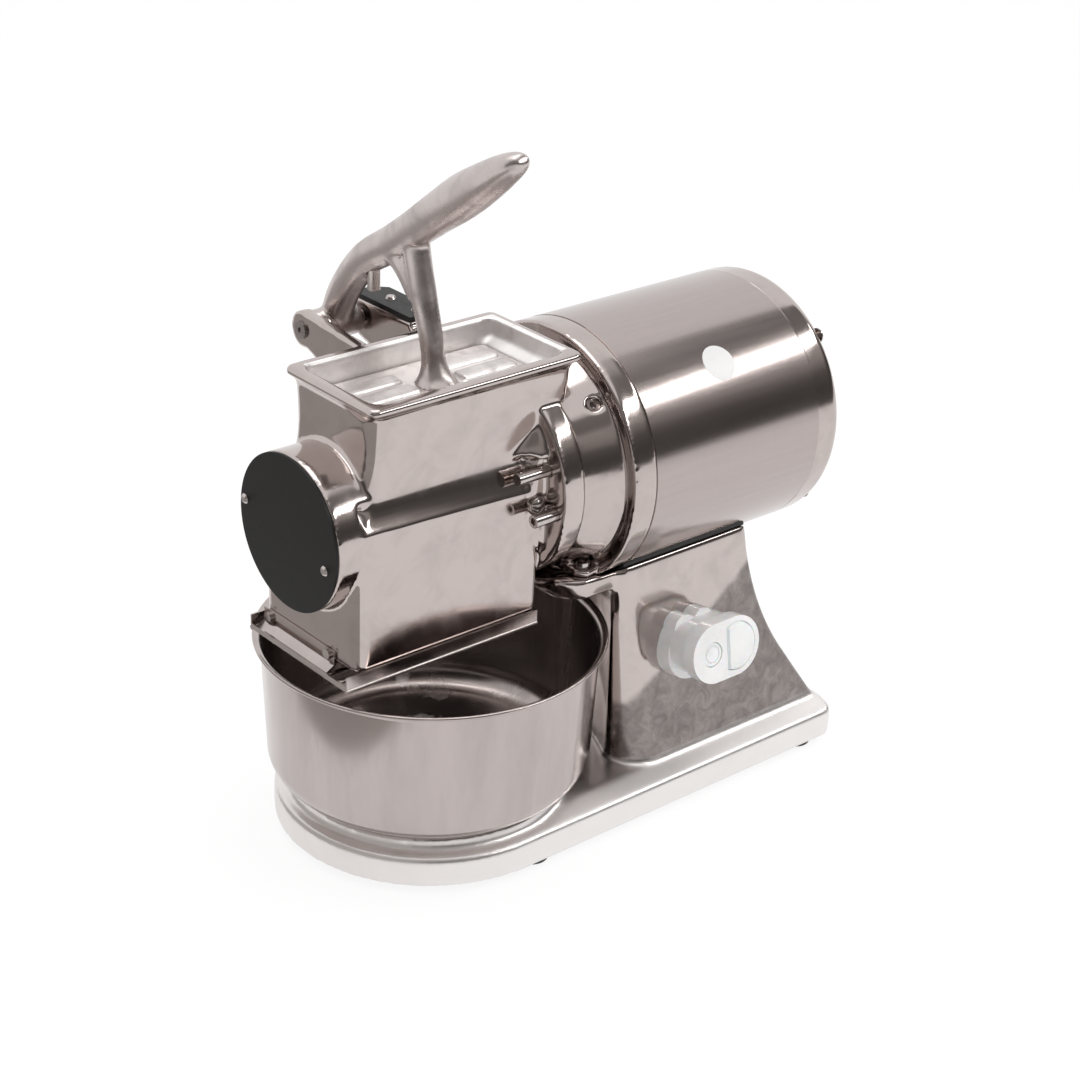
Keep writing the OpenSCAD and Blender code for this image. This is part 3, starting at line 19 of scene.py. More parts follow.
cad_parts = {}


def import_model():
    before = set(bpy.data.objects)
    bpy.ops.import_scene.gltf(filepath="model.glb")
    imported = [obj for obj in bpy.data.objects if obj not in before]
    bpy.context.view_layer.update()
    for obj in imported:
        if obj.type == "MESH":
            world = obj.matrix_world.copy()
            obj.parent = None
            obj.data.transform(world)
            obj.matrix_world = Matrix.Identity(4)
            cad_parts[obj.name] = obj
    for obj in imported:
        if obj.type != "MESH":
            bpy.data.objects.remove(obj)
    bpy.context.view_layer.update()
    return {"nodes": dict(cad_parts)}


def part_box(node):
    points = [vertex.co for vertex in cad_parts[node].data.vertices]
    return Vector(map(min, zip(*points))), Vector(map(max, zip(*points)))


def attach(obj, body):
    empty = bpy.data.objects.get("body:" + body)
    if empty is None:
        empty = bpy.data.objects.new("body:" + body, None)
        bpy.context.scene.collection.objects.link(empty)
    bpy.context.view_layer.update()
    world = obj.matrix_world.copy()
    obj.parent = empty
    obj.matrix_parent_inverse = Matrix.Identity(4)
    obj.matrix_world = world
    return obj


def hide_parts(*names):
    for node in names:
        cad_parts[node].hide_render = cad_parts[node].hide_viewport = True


LOG = logging.getLogger("cheese_grater")
MM = 0.001
Colour = tuple[float, float, float]


# Places read from the frame


@dataclass(frozen=True)
class Datum:
    """Places that several sub-assemblies share, in metres.

    Args:
        bowl_x: The bowl's centre line along X.
        axis_z: Height of the motor's and the drum's common axis.
    """

    bowl_x: float
    axis_z: float

    @classmethod
    def read(cls) -> Datum:
        """Reads the bowl's and the motor's middles from the frame.

        Returns:
            The shared places.
        """
        bowl_low, bowl_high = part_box("bowl")
        motor_low, motor_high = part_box("motor_casing")
        return cls((bowl_low.x + bowl_high.x) / 2, (motor_low.z + motor_high.z) / 2)

    def at(self, x: float, y: float, z: float) -> Vector:
        """Returns a place given in millimetres from the bowl's centre line on the floor."""
        return Vector((self.bowl_x + x * MM, y * MM, z * MM))


# Shader maths


class Value:
    """A shader socket that takes part in Python expressions."""

    def __init__(self, tree: bpy.types.NodeTree, socket: bpy.types.NodeSocket) -> None:
        """Keeps the tree and the output socket."""
        self.tree = tree
        self.socket = socket

    def _math(self, operation: str, *terms: Value | float) -> Value:
        """Adds a Math node.

        Args:
            operation: The node's operation.
            terms: Its inputs, in order.

        Returns:
            The node's output.
        """
        node = self.tree.nodes.new("ShaderNodeMath")
        node.operation = operation
        for slot, term in zip(node.inputs, terms):
            if isinstance(term, Value):
                self.tree.links.new(term.socket, slot)
            else:
                slot.default_value = term
        return Value(self.tree, node.outputs[0])

    def __add__(self, other: Value | float) -> Value:
        """Returns the sum."""
        return self._math("ADD", self, other)

    __radd__ = __add__

    def __mul__(self, other: Value | float) -> Value:
        """Returns the product."""
        return self._math("MULTIPLY", self, other)

    __rmul__ = __mul__

    def __sub__(self, other: Value | float) -> Value:
        """Returns this less the other."""
        return self._math("SUBTRACT", self, other)

    def __rsub__(self, other: float) -> Value:
        """Returns a number less this."""
        return self._math("SUBTRACT", other, self)

    def size(self) -> Value:
        """Returns this without its sign."""
        return self._math("ABSOLUTE", self)

    def clamped(self) -> Value:
        """Returns this held between 0 and 1."""
        return self._math("MINIMUM", self._math("MAXIMUM", self, 0.0), 1.0)


class Tree:
    """A node tree with one way to add a node."""

    def __init__(self, tree: bpy.types.NodeTree) -> None:
        """Keeps the tree."""
        self.tree = tree

    def node(self, kind: str, settings: dict | None = None,
             inputs: dict | None = None) -> bpy.types.Node:
        """Adds a node.

        Args:
            kind: The node's type.
            settings: Its properties, and for a ramp its stops, set first.
            inputs: Values or links of its sockets, by name or number.

        Returns:
            The node.
        """
        node = self.tree.nodes.new(kind)
        for key, setting in (settings or {}).items():
            if key == "stops":
                self.fill(node.color_ramp, setting)
            else:
                setattr(node, key, setting)
        for key, entry in (inputs or {}).items():
            if isinstance(entry, Value):
                self.tree.links.new(entry.socket, node.inputs[key])
            else:
                node.inputs[key].default_value = entry
        return node

    @staticmethod
    def fill(ramp: bpy.types.ColorRamp, stops: Sequence[tuple[float, Colour]]) -> None:
        """Sets a ramp's stops, given as place and colour in rising order."""
        ramp.elements[0].position = stops[0][0]
        ramp.elements[1].position = stops[-1][0]
        for place, _ in stops[1:-1]:
            ramp.elements.new(place)
        for element, (_, colour) in zip(ramp.elements, stops):
            element.color = (*colour, 1.0)

    def value(self, kind: str, settings: dict | None = None, inputs: dict | None = None,
              output: int | str = 0) -> Value:
        """Adds a node and returns one of its outputs."""
        return Value(self.tree, self.node(kind, settings, inputs).outputs[output])


class Shader(Tree):
    """The node tree of one material, with the few node shapes that the finishes share."""

    def __init__(self, name: str) -> None:
        """Starts a material of that name with its surface shader."""
        self.material = bpy.data.materials.new(name)
        self.material.use_nodes = True
        super().__init__(self.material.node_tree)
        self.surface = self.tree.nodes["Principled BSDF"]
        self.place = self.value("ShaderNodeTexCoord", output="Object")

    def scaled(self, stretch: Colour) -> Value:
        """Returns Object coordinates stretched along each axis."""
        return self.value("ShaderNodeMapping", None, {"Vector": self.place, "Scale": stretch})

    def noise(self, scale: float, detail: float = 2.0, rough: float = 0.5,
              stretch: Colour = (1, 1, 1), warp: float = 0.0) -> Value:
        """Returns noise from 0 to 1 with that many cells a metre."""
        return self.value("ShaderNodeTexNoise", None, {
            "Vector": self.scaled(stretch), "Scale": scale, "Detail": detail,
            "Roughness": rough, "Distortion": warp})

    def ramp(self, factor: Value, low: float, high: float) -> Value:
        """Returns 0 below low, 1 above high and a smooth rise between them."""
        return self.value("ShaderNodeMapRange", {"interpolation_type": "SMOOTHSTEP"},
                          {"Value": factor, "From Min": low, "From Max": high})

    def mix(self, factor: Value, first: Colour | Value, second: Colour | Value) -> Value:
        """Returns a colour between two colours."""
        ends = [c if isinstance(c, Value) else (*c, 1.0) for c in (first, second)]
        return self.value("ShaderNodeMix", {"data_type": "RGBA"},
                          {0: factor, 6: ends[0], 7: ends[1]}, 2)

    def height(self, axis: str = "Z") -> Value:
        """Returns one of the Object coordinates, in metres."""
        return self.value("ShaderNodeSeparateXYZ", None, {0: self.place}, axis)

    def bump(self, relief: Value, depth: float, under: Value | None = None) -> Value:
        """Returns a normal bent by a relief.

        Args:
            relief: Heights from 0 to 1.
            depth: The height of 1, in metres.
            under: A normal that is bent already.

        Returns:
            The bent normal.
        """
        inputs = {"Height": relief, "Distance": depth}
        if under is not None:
            inputs["Normal"] = under
        return self.value("ShaderNodeBump", None, inputs)

    def linked(self) -> dict[str, Value]:
        """Returns what feeds the surface's linked sockets, by the socket's name."""
        return {slot.name: Value(self.tree, slot.links[0].from_socket)
                for slot in self.surface.inputs if slot.is_linked}

    def finish(self, **sockets: Value | float | Colour) -> bpy.types.Material:
        """Sets the surface's sockets.

        Args:
            sockets: Values or links by socket name, with _ for a space.

        Returns:
            The finished material.
        """
        for key, entry in sockets.items():
            slot = self.surface.inputs[key.replace("_", " ")]
            if isinstance(entry, Value):
                self.tree.links.new(entry.socket, slot)
            elif isinstance(entry, tuple):
                slot.default_value = (*entry, 1.0)
            else:
                slot.default_value = entry
        return self.material


# Finishes


@dataclass(frozen=True)
class Finish:
    """One surface finish. Its material is made once and shared.

    Args:
        name: Name of the material.
        colour: Its base colour.
        rough: Its mean roughness.
    """

    made: ClassVar[dict[str, bpy.types.Material]] = {}

    name: str
    colour: Colour
    rough: float

    def material(self) -> bpy.types.Material:
        """Returns the finish's material, made on first use."""
        if self.name not in self.made:
            self.made[self.name] = self.build(Shader(self.name))
        return self.made[self.name]

    def build(self, shader: Shader) -> bpy.types.Material:
        """Fills the material. Each kind of finish has its own."""
        raise NotImplementedError


@dataclass(frozen=True)
class PolishedCasting(Finish):
    """Hand-polished cast aluminium: soft waves, fine scratches and some dull clouds.

    Args:
        wave: Depth of the polisher's waves, in millimetres.
        dull: How much duller and darker the clouds are.
    """

    wave: float = 0.5
    dull: float = 0.10

    def clouds(self, shader: Shader) -> Value:
        """Returns where the polish is duller, from 0 to 1."""
        return shader.ramp(shader.noise(48, 4.0, 0.6, warp=0.6), 0.38, 0.78)

    def build(self, shader: Shader) -> bpy.types.Material:
        """Fills the material."""
        clouds = self.clouds(shader)
        scratches = shader.noise(260, 3.0, 0.6, stretch=(1.0, 1.0, 0.22))
        normal = shader.bump(shader.noise(20, 2.0, 0.45), self.wave * MM)
        normal = shader.bump(scratches, 0.008 * MM, normal)
        normal = shader.bump(shader.noise(1500, 2.0, 0.6), 0.003 * MM, normal)
        tone = shader.mix(clouds, self.colour, tuple((1 - self.dull) * c for c in self.colour))
        return shader.finish(Base_Color=tone, Metallic=1.0, Normal=normal,
                             Roughness=self.rough + clouds * self.dull * 0.8 + scratches * 0.03)


@dataclass(frozen=True)
class WornPedestal(PolishedCasting):
    """The base's casting: a rougher foot whose pale colour is a painted highlight, under a pedestal
    with a darker, mottled skin.

    Args:
        foot: Height of the pedestal's foot, in millimetres.
        rise: How far the skin's upper border rises per millimetre towards the rear.
        border: Height of that border over the frame's middle, in millimetres.
        dark: How much darker the skin is.
        flank: Where the skin starts, measured across from the middle, in millimetres.
        nose: Places along X between which the foot's painted highlight and extra roughness reach
            full strength, in millimetres.
        grime: Colour that the skin is darkened with.
        satin_and_highlight: Colour of the foot beside the pedestal, made pale as a painted
            highlight.
    """

    foot: float = 30.0
    rise: float = 0.60
    border: float = 62.0
    dark: float = 0.60
    flank: tuple[float, float] = (60.0, 64.0)
    nose: tuple[float, float] = (-190.0, -100.0)
    grime: Colour = (0.060, 0.050, 0.046)
    satin_and_highlight: Colour = (0.860, 0.830, 0.815)

    def build(self, shader: Shader) -> bpy.types.Material:
        """Fills the material."""
        super().build(shader)
        sockets = shader.linked()
        height = shader.height()
        along = shader.height("X")
        flank = shader.ramp(shader.height("Y").size(), *(y * MM for y in self.flank))
        edge = height - along * self.rise + shader.noise(45, 3.0, 0.6) * (9 * MM)
        below = 1 - shader.ramp(edge, self.border * MM, (self.border + 7) * MM)
        above = shader.ramp(height, self.foot * MM, (self.foot + 3) * MM)
        skin = below * above * flank
        mottle = shader.ramp(shader.noise(95, 5.0, 0.68, warp=0.8), 0.28, 0.74)
        shade = skin * (self.dark * 0.72 + mottle * (self.dark * 0.45))
        tone = shader.mix(shade, sockets["Base Color"], self.grime)
        # Painted highlight: the foot is painted pale to stand in for the white highlight along its
        # shoulder, and it is rougher there too.
        low = 1 - shader.ramp(height, self.foot * MM, (self.foot + 5) * MM)
        satin_and_highlight = low * (0.70 + shader.ramp(along, *(x * MM for x in self.nose)) * 0.30)
        tone = shader.mix(satin_and_highlight, tone, self.satin_and_highlight)
        normal = shader.bump(shader.noise(150, 4.0, 0.65) * skin, 0.20 * MM, sockets["Normal"])
        rough = sockets["Roughness"] + skin * 0.14 + satin_and_highlight * 0.24
        return shader.finish(Base_Color=tone, Normal=normal, Roughness=rough)


@dataclass(frozen=True)
class HopperCasting(PolishedCasting):
    """The head's casting, whose hopper is less polished inside and painted paler there, a painted
    light on its shaded walls.

    Args:
        low: Lowest corner of the hopper's inside, in metres.
        high: Its highest corner, in metres.
        painted_light_inside: Pale colour of the inside, a painted light.
        stain: Colour of its stains.
    """

    low: tuple[float, float, float] = (-0.152, -0.036, 0.250)
    high: tuple[float, float, float] = (-0.0105, 0.034, 0.330)
    painted_light_inside: Colour = (0.930, 0.905, 0.895)
    stain: Colour = (0.42, 0.375, 0.355)

    def build(self, shader: Shader) -> bpy.types.Material:
        """Fills the material."""
        super().build(shader)
        sockets = shader.linked()
        inside = None
        for axis, low, high in zip("XYZ", self.low, self.high):
            place = shader.height(axis)
            within = shader.ramp(place, low - MM, low) * (
                1 - shader.ramp(place, high, high + MM))
            inside = within if inside is None else inside * within
        stains = shader.ramp(shader.noise(60, 4.0, 0.6, warp=0.7), 0.40, 0.72)
        # Painted light: the hopper's inside is painted pale to brighten its shaded walls, with
        # stains over it.
        tone = shader.mix(stains * 0.25, self.painted_light_inside, self.stain)
        tone = shader.mix(inside, sockets["Base Color"], tone)
        return shader.finish(Base_Color=tone, Roughness=sockets["Roughness"] + inside * 0.34)


@dataclass(frozen=True)
class BrushedSheet(Finish):
    """Stainless sheet with brush lines around the motor and faint drag marks along it."""

    def build(self, shader: Shader) -> bpy.types.Material:
        """Fills the material."""
        lines = shader.noise(2600, 2.0, 0.7, stretch=(1.0, 0.012, 0.012))
        drags = shader.noise(300, 3.0, 0.6, stretch=(0.05, 1.0, 1.0))
        tone = shader.mix(lines * 0.45 + drags * 0.55, tuple(0.88 * c for c in self.colour),
                          tuple(1.09 * c for c in self.colour))
        normal = shader.bump(shader.noise(14, 1.0, 0.4), 0.22 * MM)
        normal = shader.bump(drags, 0.010 * MM, normal)
        normal = shader.bump(lines, 0.008 * MM, normal)
        return shader.finish(Base_Color=tone, Metallic=1.0, Normal=normal,
                             Roughness=self.rough + drags * 0.06)


@dataclass(frozen=True)
class SpunSheet(Finish):
    """Spun stainless sheet with faint rings, upright wipe marks and soft waves."""

    def build(self, shader: Shader) -> bpy.types.Material:
        """Fills the material."""
        rings = shader.noise(900, 2.0, 0.6, stretch=(0.02, 0.02, 1.0))
        wipes = shader.noise(40, 4.0, 0.6, stretch=(1.0, 1.0, 0.25), warp=0.3)
        film = shader.ramp(wipes, 0.32, 0.72)
        tone = shader.mix(film, self.colour, tuple(0.90 * c for c in self.colour))
        normal = shader.bump(shader.noise(26, 1.0, 0.4, stretch=(1.0, 1.0, 0.15)), 0.30 * MM)
        normal = shader.bump(rings, 0.005 * MM, normal)
        return shader.finish(Base_Color=tone, Metallic=1.0, Normal=normal,
                             Roughness=self.rough + film * 0.08)


@dataclass(frozen=True)
class SpunInside(SpunSheet):
    """The inside of a spun bowl, darker, with bright upright streaks.

    Args:
        streak: Colour of the streaks.
    """

    streak: Colour = (0.86, 0.82, 0.80)

    def build(self, shader: Shader) -> bpy.types.Material:
        """Fills the material."""
        super().build(shader)
        sockets = shader.linked()
        wipes = shader.noise(42, 3.0, 0.55, stretch=(1.0, 1.0, 0.06))
        streaks = shader.ramp(wipes, 0.56, 0.70)
        tone = shader.mix(streaks * 0.8, sockets["Base Color"], self.streak)
        return shader.finish(Base_Color=tone, Roughness=sockets["Roughness"] + streaks * 0.18)


@dataclass(frozen=True)
class BrightSteel(Finish):
    """Turned or plated steel of small parts, with faint tool marks.

    Args:
        dirt: How dark the clouded areas get.
    """

    dirt: float = 0.15

    def build(self, shader: Shader) -> bpy.types.Material:
        """Fills the material."""
        clouds = shader.ramp(shader.noise(140, 3.0, 0.6), 0.35, 0.7)
        marks = shader.noise(1400, 2.0, 0.6)
        tone = shader.mix(clouds, self.colour, tuple((1 - self.dirt) * c for c in self.colour))
        return shader.finish(Base_Color=tone, Metallic=1.0, Normal=shader.bump(marks, 0.01 * MM),
                             Roughness=self.rough + clouds * 0.08)


@dataclass(frozen=True)
class MouldedPlastic(Finish):
    """Moulded plastic or rubber with a fine grain and light scuffs.

    Args:
        grain: Depth of the grain, in millimetres.
        scuff: How much lighter the scuffed areas are.
        shine: How much the plain surface mirrors, 0.5 being usual.
    """

    grain: float = 0.02
    scuff: float = 0.02
    shine: float = 0.5

    def build(self, shader: Shader) -> bpy.types.Material:
        """Fills the material."""
        scuffs = shader.ramp(shader.noise(120, 5.0, 0.65), 0.45, 0.75)
        pores = shader.noise(1800, 2.0, 0.6)
        tone = shader.mix(scuffs, self.colour, tuple(c + self.scuff for c in self.colour))
        return shader.finish(Base_Color=tone, Metallic=0.0, Roughness=self.rough + scuffs * 0.12,
                             Specular_IOR_Level=self.shine,
                             Normal=shader.bump(pores, self.grain * MM))


@dataclass(frozen=True)
class PaleShell(Finish):
    """Pale, slightly milky plastic of the switch, with a gloss coat."""

    def build(self, shader: Shader) -> bpy.types.Material:
        """Fills the material."""
        depth = shader.ramp(shader.noise(60, 3.0, 0.5), 0.3, 0.8)
        tone = shader.mix(depth, self.colour, tuple(0.9 * c for c in self.colour))
        return shader.finish(
            Base_Color=tone, Metallic=0.0, Roughness=self.rough + depth * 0.05,
            Normal=shader.bump(shader.noise(35, 2.0, 0.5), 0.25 * MM), Coat_Weight=0.5,
            Coat_Roughness=0.08, Subsurface_Weight=0.25, Subsurface_Scale=0.004)


@dataclass(frozen=True)
class Laminated(Finish):
    """A stack of steel sheets or a coil of wire, with lines across X."""

    def build(self, shader: Shader) -> bpy.types.Material:
        """Fills the material."""
        sheets = shader.noise(1900, 0.0, 0.5, stretch=(1.0, 0.01, 0.01))
        tone = shader.mix(sheets, tuple(0.6 * c for c in self.colour), self.colour)
        return shader.finish(Base_Color=tone, Metallic=0.8, Roughness=self.rough,
                             Normal=shader.bump(sheets, 0.15 * MM))


class Palette:
    """The machine's finishes, by what they are on."""

    casting = HopperCasting("polished casting", (0.530, 0.468, 0.448), 0.085, wave=0.22)
    base = WornPedestal("polished base", (0.540, 0.478, 0.458), 0.10, wave=0.35)
    flange = PolishedCasting("polished flange", (0.520, 0.458, 0.438), 0.09, wave=0.28)
    lever = PolishedCasting("hand lever", (0.560, 0.500, 0.482), 0.25, wave=1.2, dull=0.24)
    block = PolishedCasting("presser block", (0.760, 0.715, 0.700), 0.30, wave=0.5, dull=0.3)
    casing = BrushedSheet("brushed casing", (0.455, 0.398, 0.382), 0.15)
    bowl = SpunSheet("spun bowl", (0.500, 0.442, 0.425), 0.13)
    sheet = SpunSheet("polished strip", (0.520, 0.465, 0.445), 0.12)
    screw = BrightSteel("plated screws", (0.560, 0.510, 0.490), 0.14)
    machined = BrightSteel("machined steel", (0.420, 0.385, 0.370), 0.20, dirt=0.25)
    drum = BrightSteel("punched drum", (0.500, 0.450, 0.430), 0.22)
    zinc = BrightSteel("galvanised sheet", (0.50, 0.50, 0.51), 0.42, dirt=0.35)
    bronze = BrightSteel("bronze bush", (0.62, 0.44, 0.20), 0.30, dirt=0.25)
    disc = MouldedPlastic("black disc", (0.011, 0.0102, 0.010), 0.38, grain=0.012, scuff=0.004,
                          shine=0.22)
    dark = MouldedPlastic("dark plastic", (0.035, 0.034, 0.034), 0.42)
    rubber = MouldedPlastic("black rubber", (0.022, 0.021, 0.021), 0.60, grain=0.04)
    can = MouldedPlastic("white can", (0.78, 0.77, 0.75), 0.40)
    inner = SpunInside("spun inside", (0.420, 0.370, 0.354), 0.20)
    shell = PaleShell("switch shell", (0.92, 0.905, 0.90), 0.24)
    button = PaleShell("push button", (0.92, 0.912, 0.908), 0.22)
    stack = Laminated("lamination stack", (0.30, 0.29, 0.285), 0.45)
    label = MouldedPlastic("bare label", (0.72, 0.71, 0.705), 0.34, grain=0.01)
    copper = Laminated("enamelled wire", (0.48, 0.19, 0.07), 0.35)


# Forms


class Axis(Enum):
    """Line that a turned form is spun about."""

    MOTOR = "X"
    UPRIGHT = "Z"


class Form:
    """A mesh in the making, in millimetres from the bowl's centre line on the floor."""

    def __init__(self, datum: Datum) -> None:
        """Starts an empty mesh."""
        self.datum = datum
        self.bm = bmesh.new()

    def loop(self, points: Iterable[Sequence[float]]) -> list:
        """Adds a closed line through points.

        Args:
            points: Places in order.

        Returns:
            The new vertices and edges.
        """
        verts = [self.bm.verts.new(p) for p in points]
        return verts + [self.bm.edges.new(pair) for pair in zip(verts, verts[1:] + verts[:1])]

    def turn(self, profile: Sequence[tuple[float, float]], axis: Axis, centre: Vector,
             steps: int = 160) -> Form:
        """Spins a profile into a closed body.

        Args:
            profile: Closed outline as radius and place along the axis.
            axis: The line to spin about.
            centre: A point on that line.
            steps: Number of steps in the full turn.

        Returns:
            This form.
        """
        if axis is Axis.MOTOR:
            points = [(a, centre.y, centre.z + r) for r, a in profile]
            line = (1, 0, 0)
        else:
            points = [(centre.x + r, centre.y, a) for r, a in profile]
            line = (0, 0, 1)
        bmesh.ops.spin(self.bm, geom=self.loop(points), cent=centre, axis=line, dvec=(0, 0, 0),
                       angle=math.tau, steps=steps, use_merge=True, use_duplicate=False)
        bmesh.ops.remove_doubles(self.bm, verts=self.bm.verts[:], dist=1e-4)
        bmesh.ops.dissolve_degenerate(self.bm, dist=1e-5, edges=self.bm.edges[:])
        bmesh.ops.recalc_face_normals(self.bm, faces=self.bm.faces[:])
        return self

    def piece(self, name: str, body: str, finish: Finish, replaces: Sequence[str] = (),
              sharp: float = 35.0) -> bpy.types.Object:
        """Turns the form into a piece in its place.

        Args:
            name: Name of the piece.
            body: Body that it rides on.
            finish: Its finish.
            replaces: Nodes that it stands for.
            sharp: Angle past which an edge stays sharp, in degrees.

        Returns:
            The piece.
        """
        bmesh.ops.transform(self.bm, verts=self.bm.verts[:], matrix=Matrix.Translation(
            (self.datum.bowl_x, 0, 0)) @ Matrix.Scale(MM, 4))
        return dressed(self.bm, name, body, finish, replaces, sharp)


def solids(nodes: Sequence[str]) -> bmesh.types.BMesh:
    """Returns a merged copy of some nodes' meshes, in metres."""
    bm = bmesh.new()
    for node in nodes:
        bm.from_mesh(bpy.data.objects[node].data)
    bmesh.ops.remove_doubles(bm, verts=bm.verts[:], dist=1e-6)
    return bm


def placed(bm: bmesh.types.BMesh, name: str) -> bpy.types.Object:
    """Returns a new object of a mesh, which is freed, in the scene."""
    mesh = bpy.data.meshes.new(name)
    bm.to_mesh(mesh)
    bm.free()
    thing = bpy.data.objects.new(name, mesh)
    bpy.context.scene.collection.objects.link(thing)
    return thing


def blank(name: str) -> tuple[bpy.types.Material, Tree]:
    """Returns a new material with an empty node tree."""
    material = bpy.data.materials.new(name)
    material.use_nodes = True
    material.node_tree.nodes.clear()
    return material, Tree(material.node_tree)


def dressed(bm: bmesh.types.BMesh, name: str, body: str, finish: Finish,
            replaces: Sequence[str] = (), sharp: float = 35.0) -> bpy.types.Object:
    """Makes an object of a mesh in metres and hands it to the frame.

    Args:
        bm: The mesh, which is freed.
        name: Name of the piece.
        body: Body that it rides on.
        finish: Its finish.
        replaces: Nodes that it stands for.
        sharp: Angle past which an edge stays sharp, in degrees.

    Returns:
        The piece.
    """
    for face in bm.faces:
        face.smooth = True
    for edge in bm.edges:
        if len(edge.link_faces) == 2:
            edge.smooth = edge.calc_face_angle() < math.radians(sharp)
    piece = placed(bm, name)
    piece.data.materials.append(finish.material())
    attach(piece, body)
    if replaces:
        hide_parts(*replaces)
    LOG.info("%s: %d faces", name, len(piece.data.polygons))
    return piece


@dataclass(frozen=True)
class Cast:
    """How a solid of the frame becomes a softly rounded casting.

    Args:
        grid: Size of the grid that it is drawn on again, in millimetres.
        passes: Number of smoothing passes.
    """

    grid: float
    passes: int

    def piece(self, nodes: Sequence[str], name: str, body: str, finish: Finish) -> bpy.types.Object:
        """Copies the solids of some nodes, melts their edges and dresses them.

        Args:
            nodes: The nodes that the casting stands for.
            name: Name of the piece.
            body: Body that it rides on.
            finish: Its finish.

        Returns:
            The piece.
        """
        piece = placed(solids(nodes), name)
        remesh = piece.modifiers.new("grid", "REMESH")
        remesh.mode = "VOXEL"
        remesh.voxel_size = self.grid * MM
        remesh.adaptivity = 0.0
        remesh.use_smooth_shade = True
        smooth = piece.modifiers.new("polish", "SMOOTH")
        smooth.factor = 0.5
        smooth.iterations = self.passes
        graph = bpy.context.evaluated_depsgraph_get()
        cast = bpy.data.meshes.new_from_object(piece.evaluated_get(graph))
        piece.modifiers.clear()
        piece.data = cast
        cast.materials.clear()
        cast.materials.append(finish.material())
        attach(piece, body)
        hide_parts(*nodes)
        LOG.info("%s: %d faces", name, len(cast.polygons))
        return piece


@dataclass(frozen=True)
class Eased:
    """How a small solid of the frame gets rounded edges.

    Args:
        width: Width of the rounding, in millimetres.
        limit: Smallest angle that counts as an edge, in degrees.
    """

    width: float
    limit: float = 32.0

    def piece(self, node: str, name: str, body: str, finish: Finish) -> bpy.types.Object:
        """Copies a node's solids, rounds their edges and dresses them.

        Args:
            node: The node that the piece stands for.
            name: Name of the piece.
            body: Body that it rides on.
            finish: Its finish.

        Returns:
            The piece.
        """
        bm = solids([node])
        bmesh.ops.dissolve_limit(bm, angle_limit=math.radians(1.0), verts=bm.verts[:],
                                 edges=bm.edges[:], use_dissolve_boundaries=False)
        edges = [e for e in bm.edges if len(e.link_faces) == 2
                 and abs(e.calc_face_angle()) > math.radians(self.limit)]
        bmesh.ops.bevel(bm, geom=edges, offset=self.width * MM, offset_type="OFFSET",
                        affect="EDGES", segments=2, profile=0.5, material=-1,
                        clamp_overlap=True)
        bmesh.ops.triangulate(bm, faces=[f for f in bm.faces if len(f.verts) > 4])
        return dressed(bm, name, body, finish, [node], 20.0)


# Sub-assemblies


@dataclass(frozen=True)
class Base:
    """Base with its pedestal, feet, gland and switch.

    Args:
        datum: Places that it shares.
        cast: How its casting is rounded.
    """

    datum: Datum
    cast: Cast = Cast(1.8, 14)

    def build(self) -> None:
        """Makes the base's pieces."""
        self.cast.piece(["base_casting"], "pedestal_base", "machine", Palette.base)
        Eased(0.5).piece("feet", "rubber_feet", "machine", Palette.rubber)
        Eased(0.6).piece("cable_gland", "cord_gland", "machine", Palette.dark)
        Eased(0.8).piece("switch_housing", "switch_body", "machine", Palette.shell)
        Eased(0.5).piece("start_button", "start_push", "start_button", Palette.button)
        Eased(0.6).piece("stop_button", "stop_push", "stop_button", Palette.button)


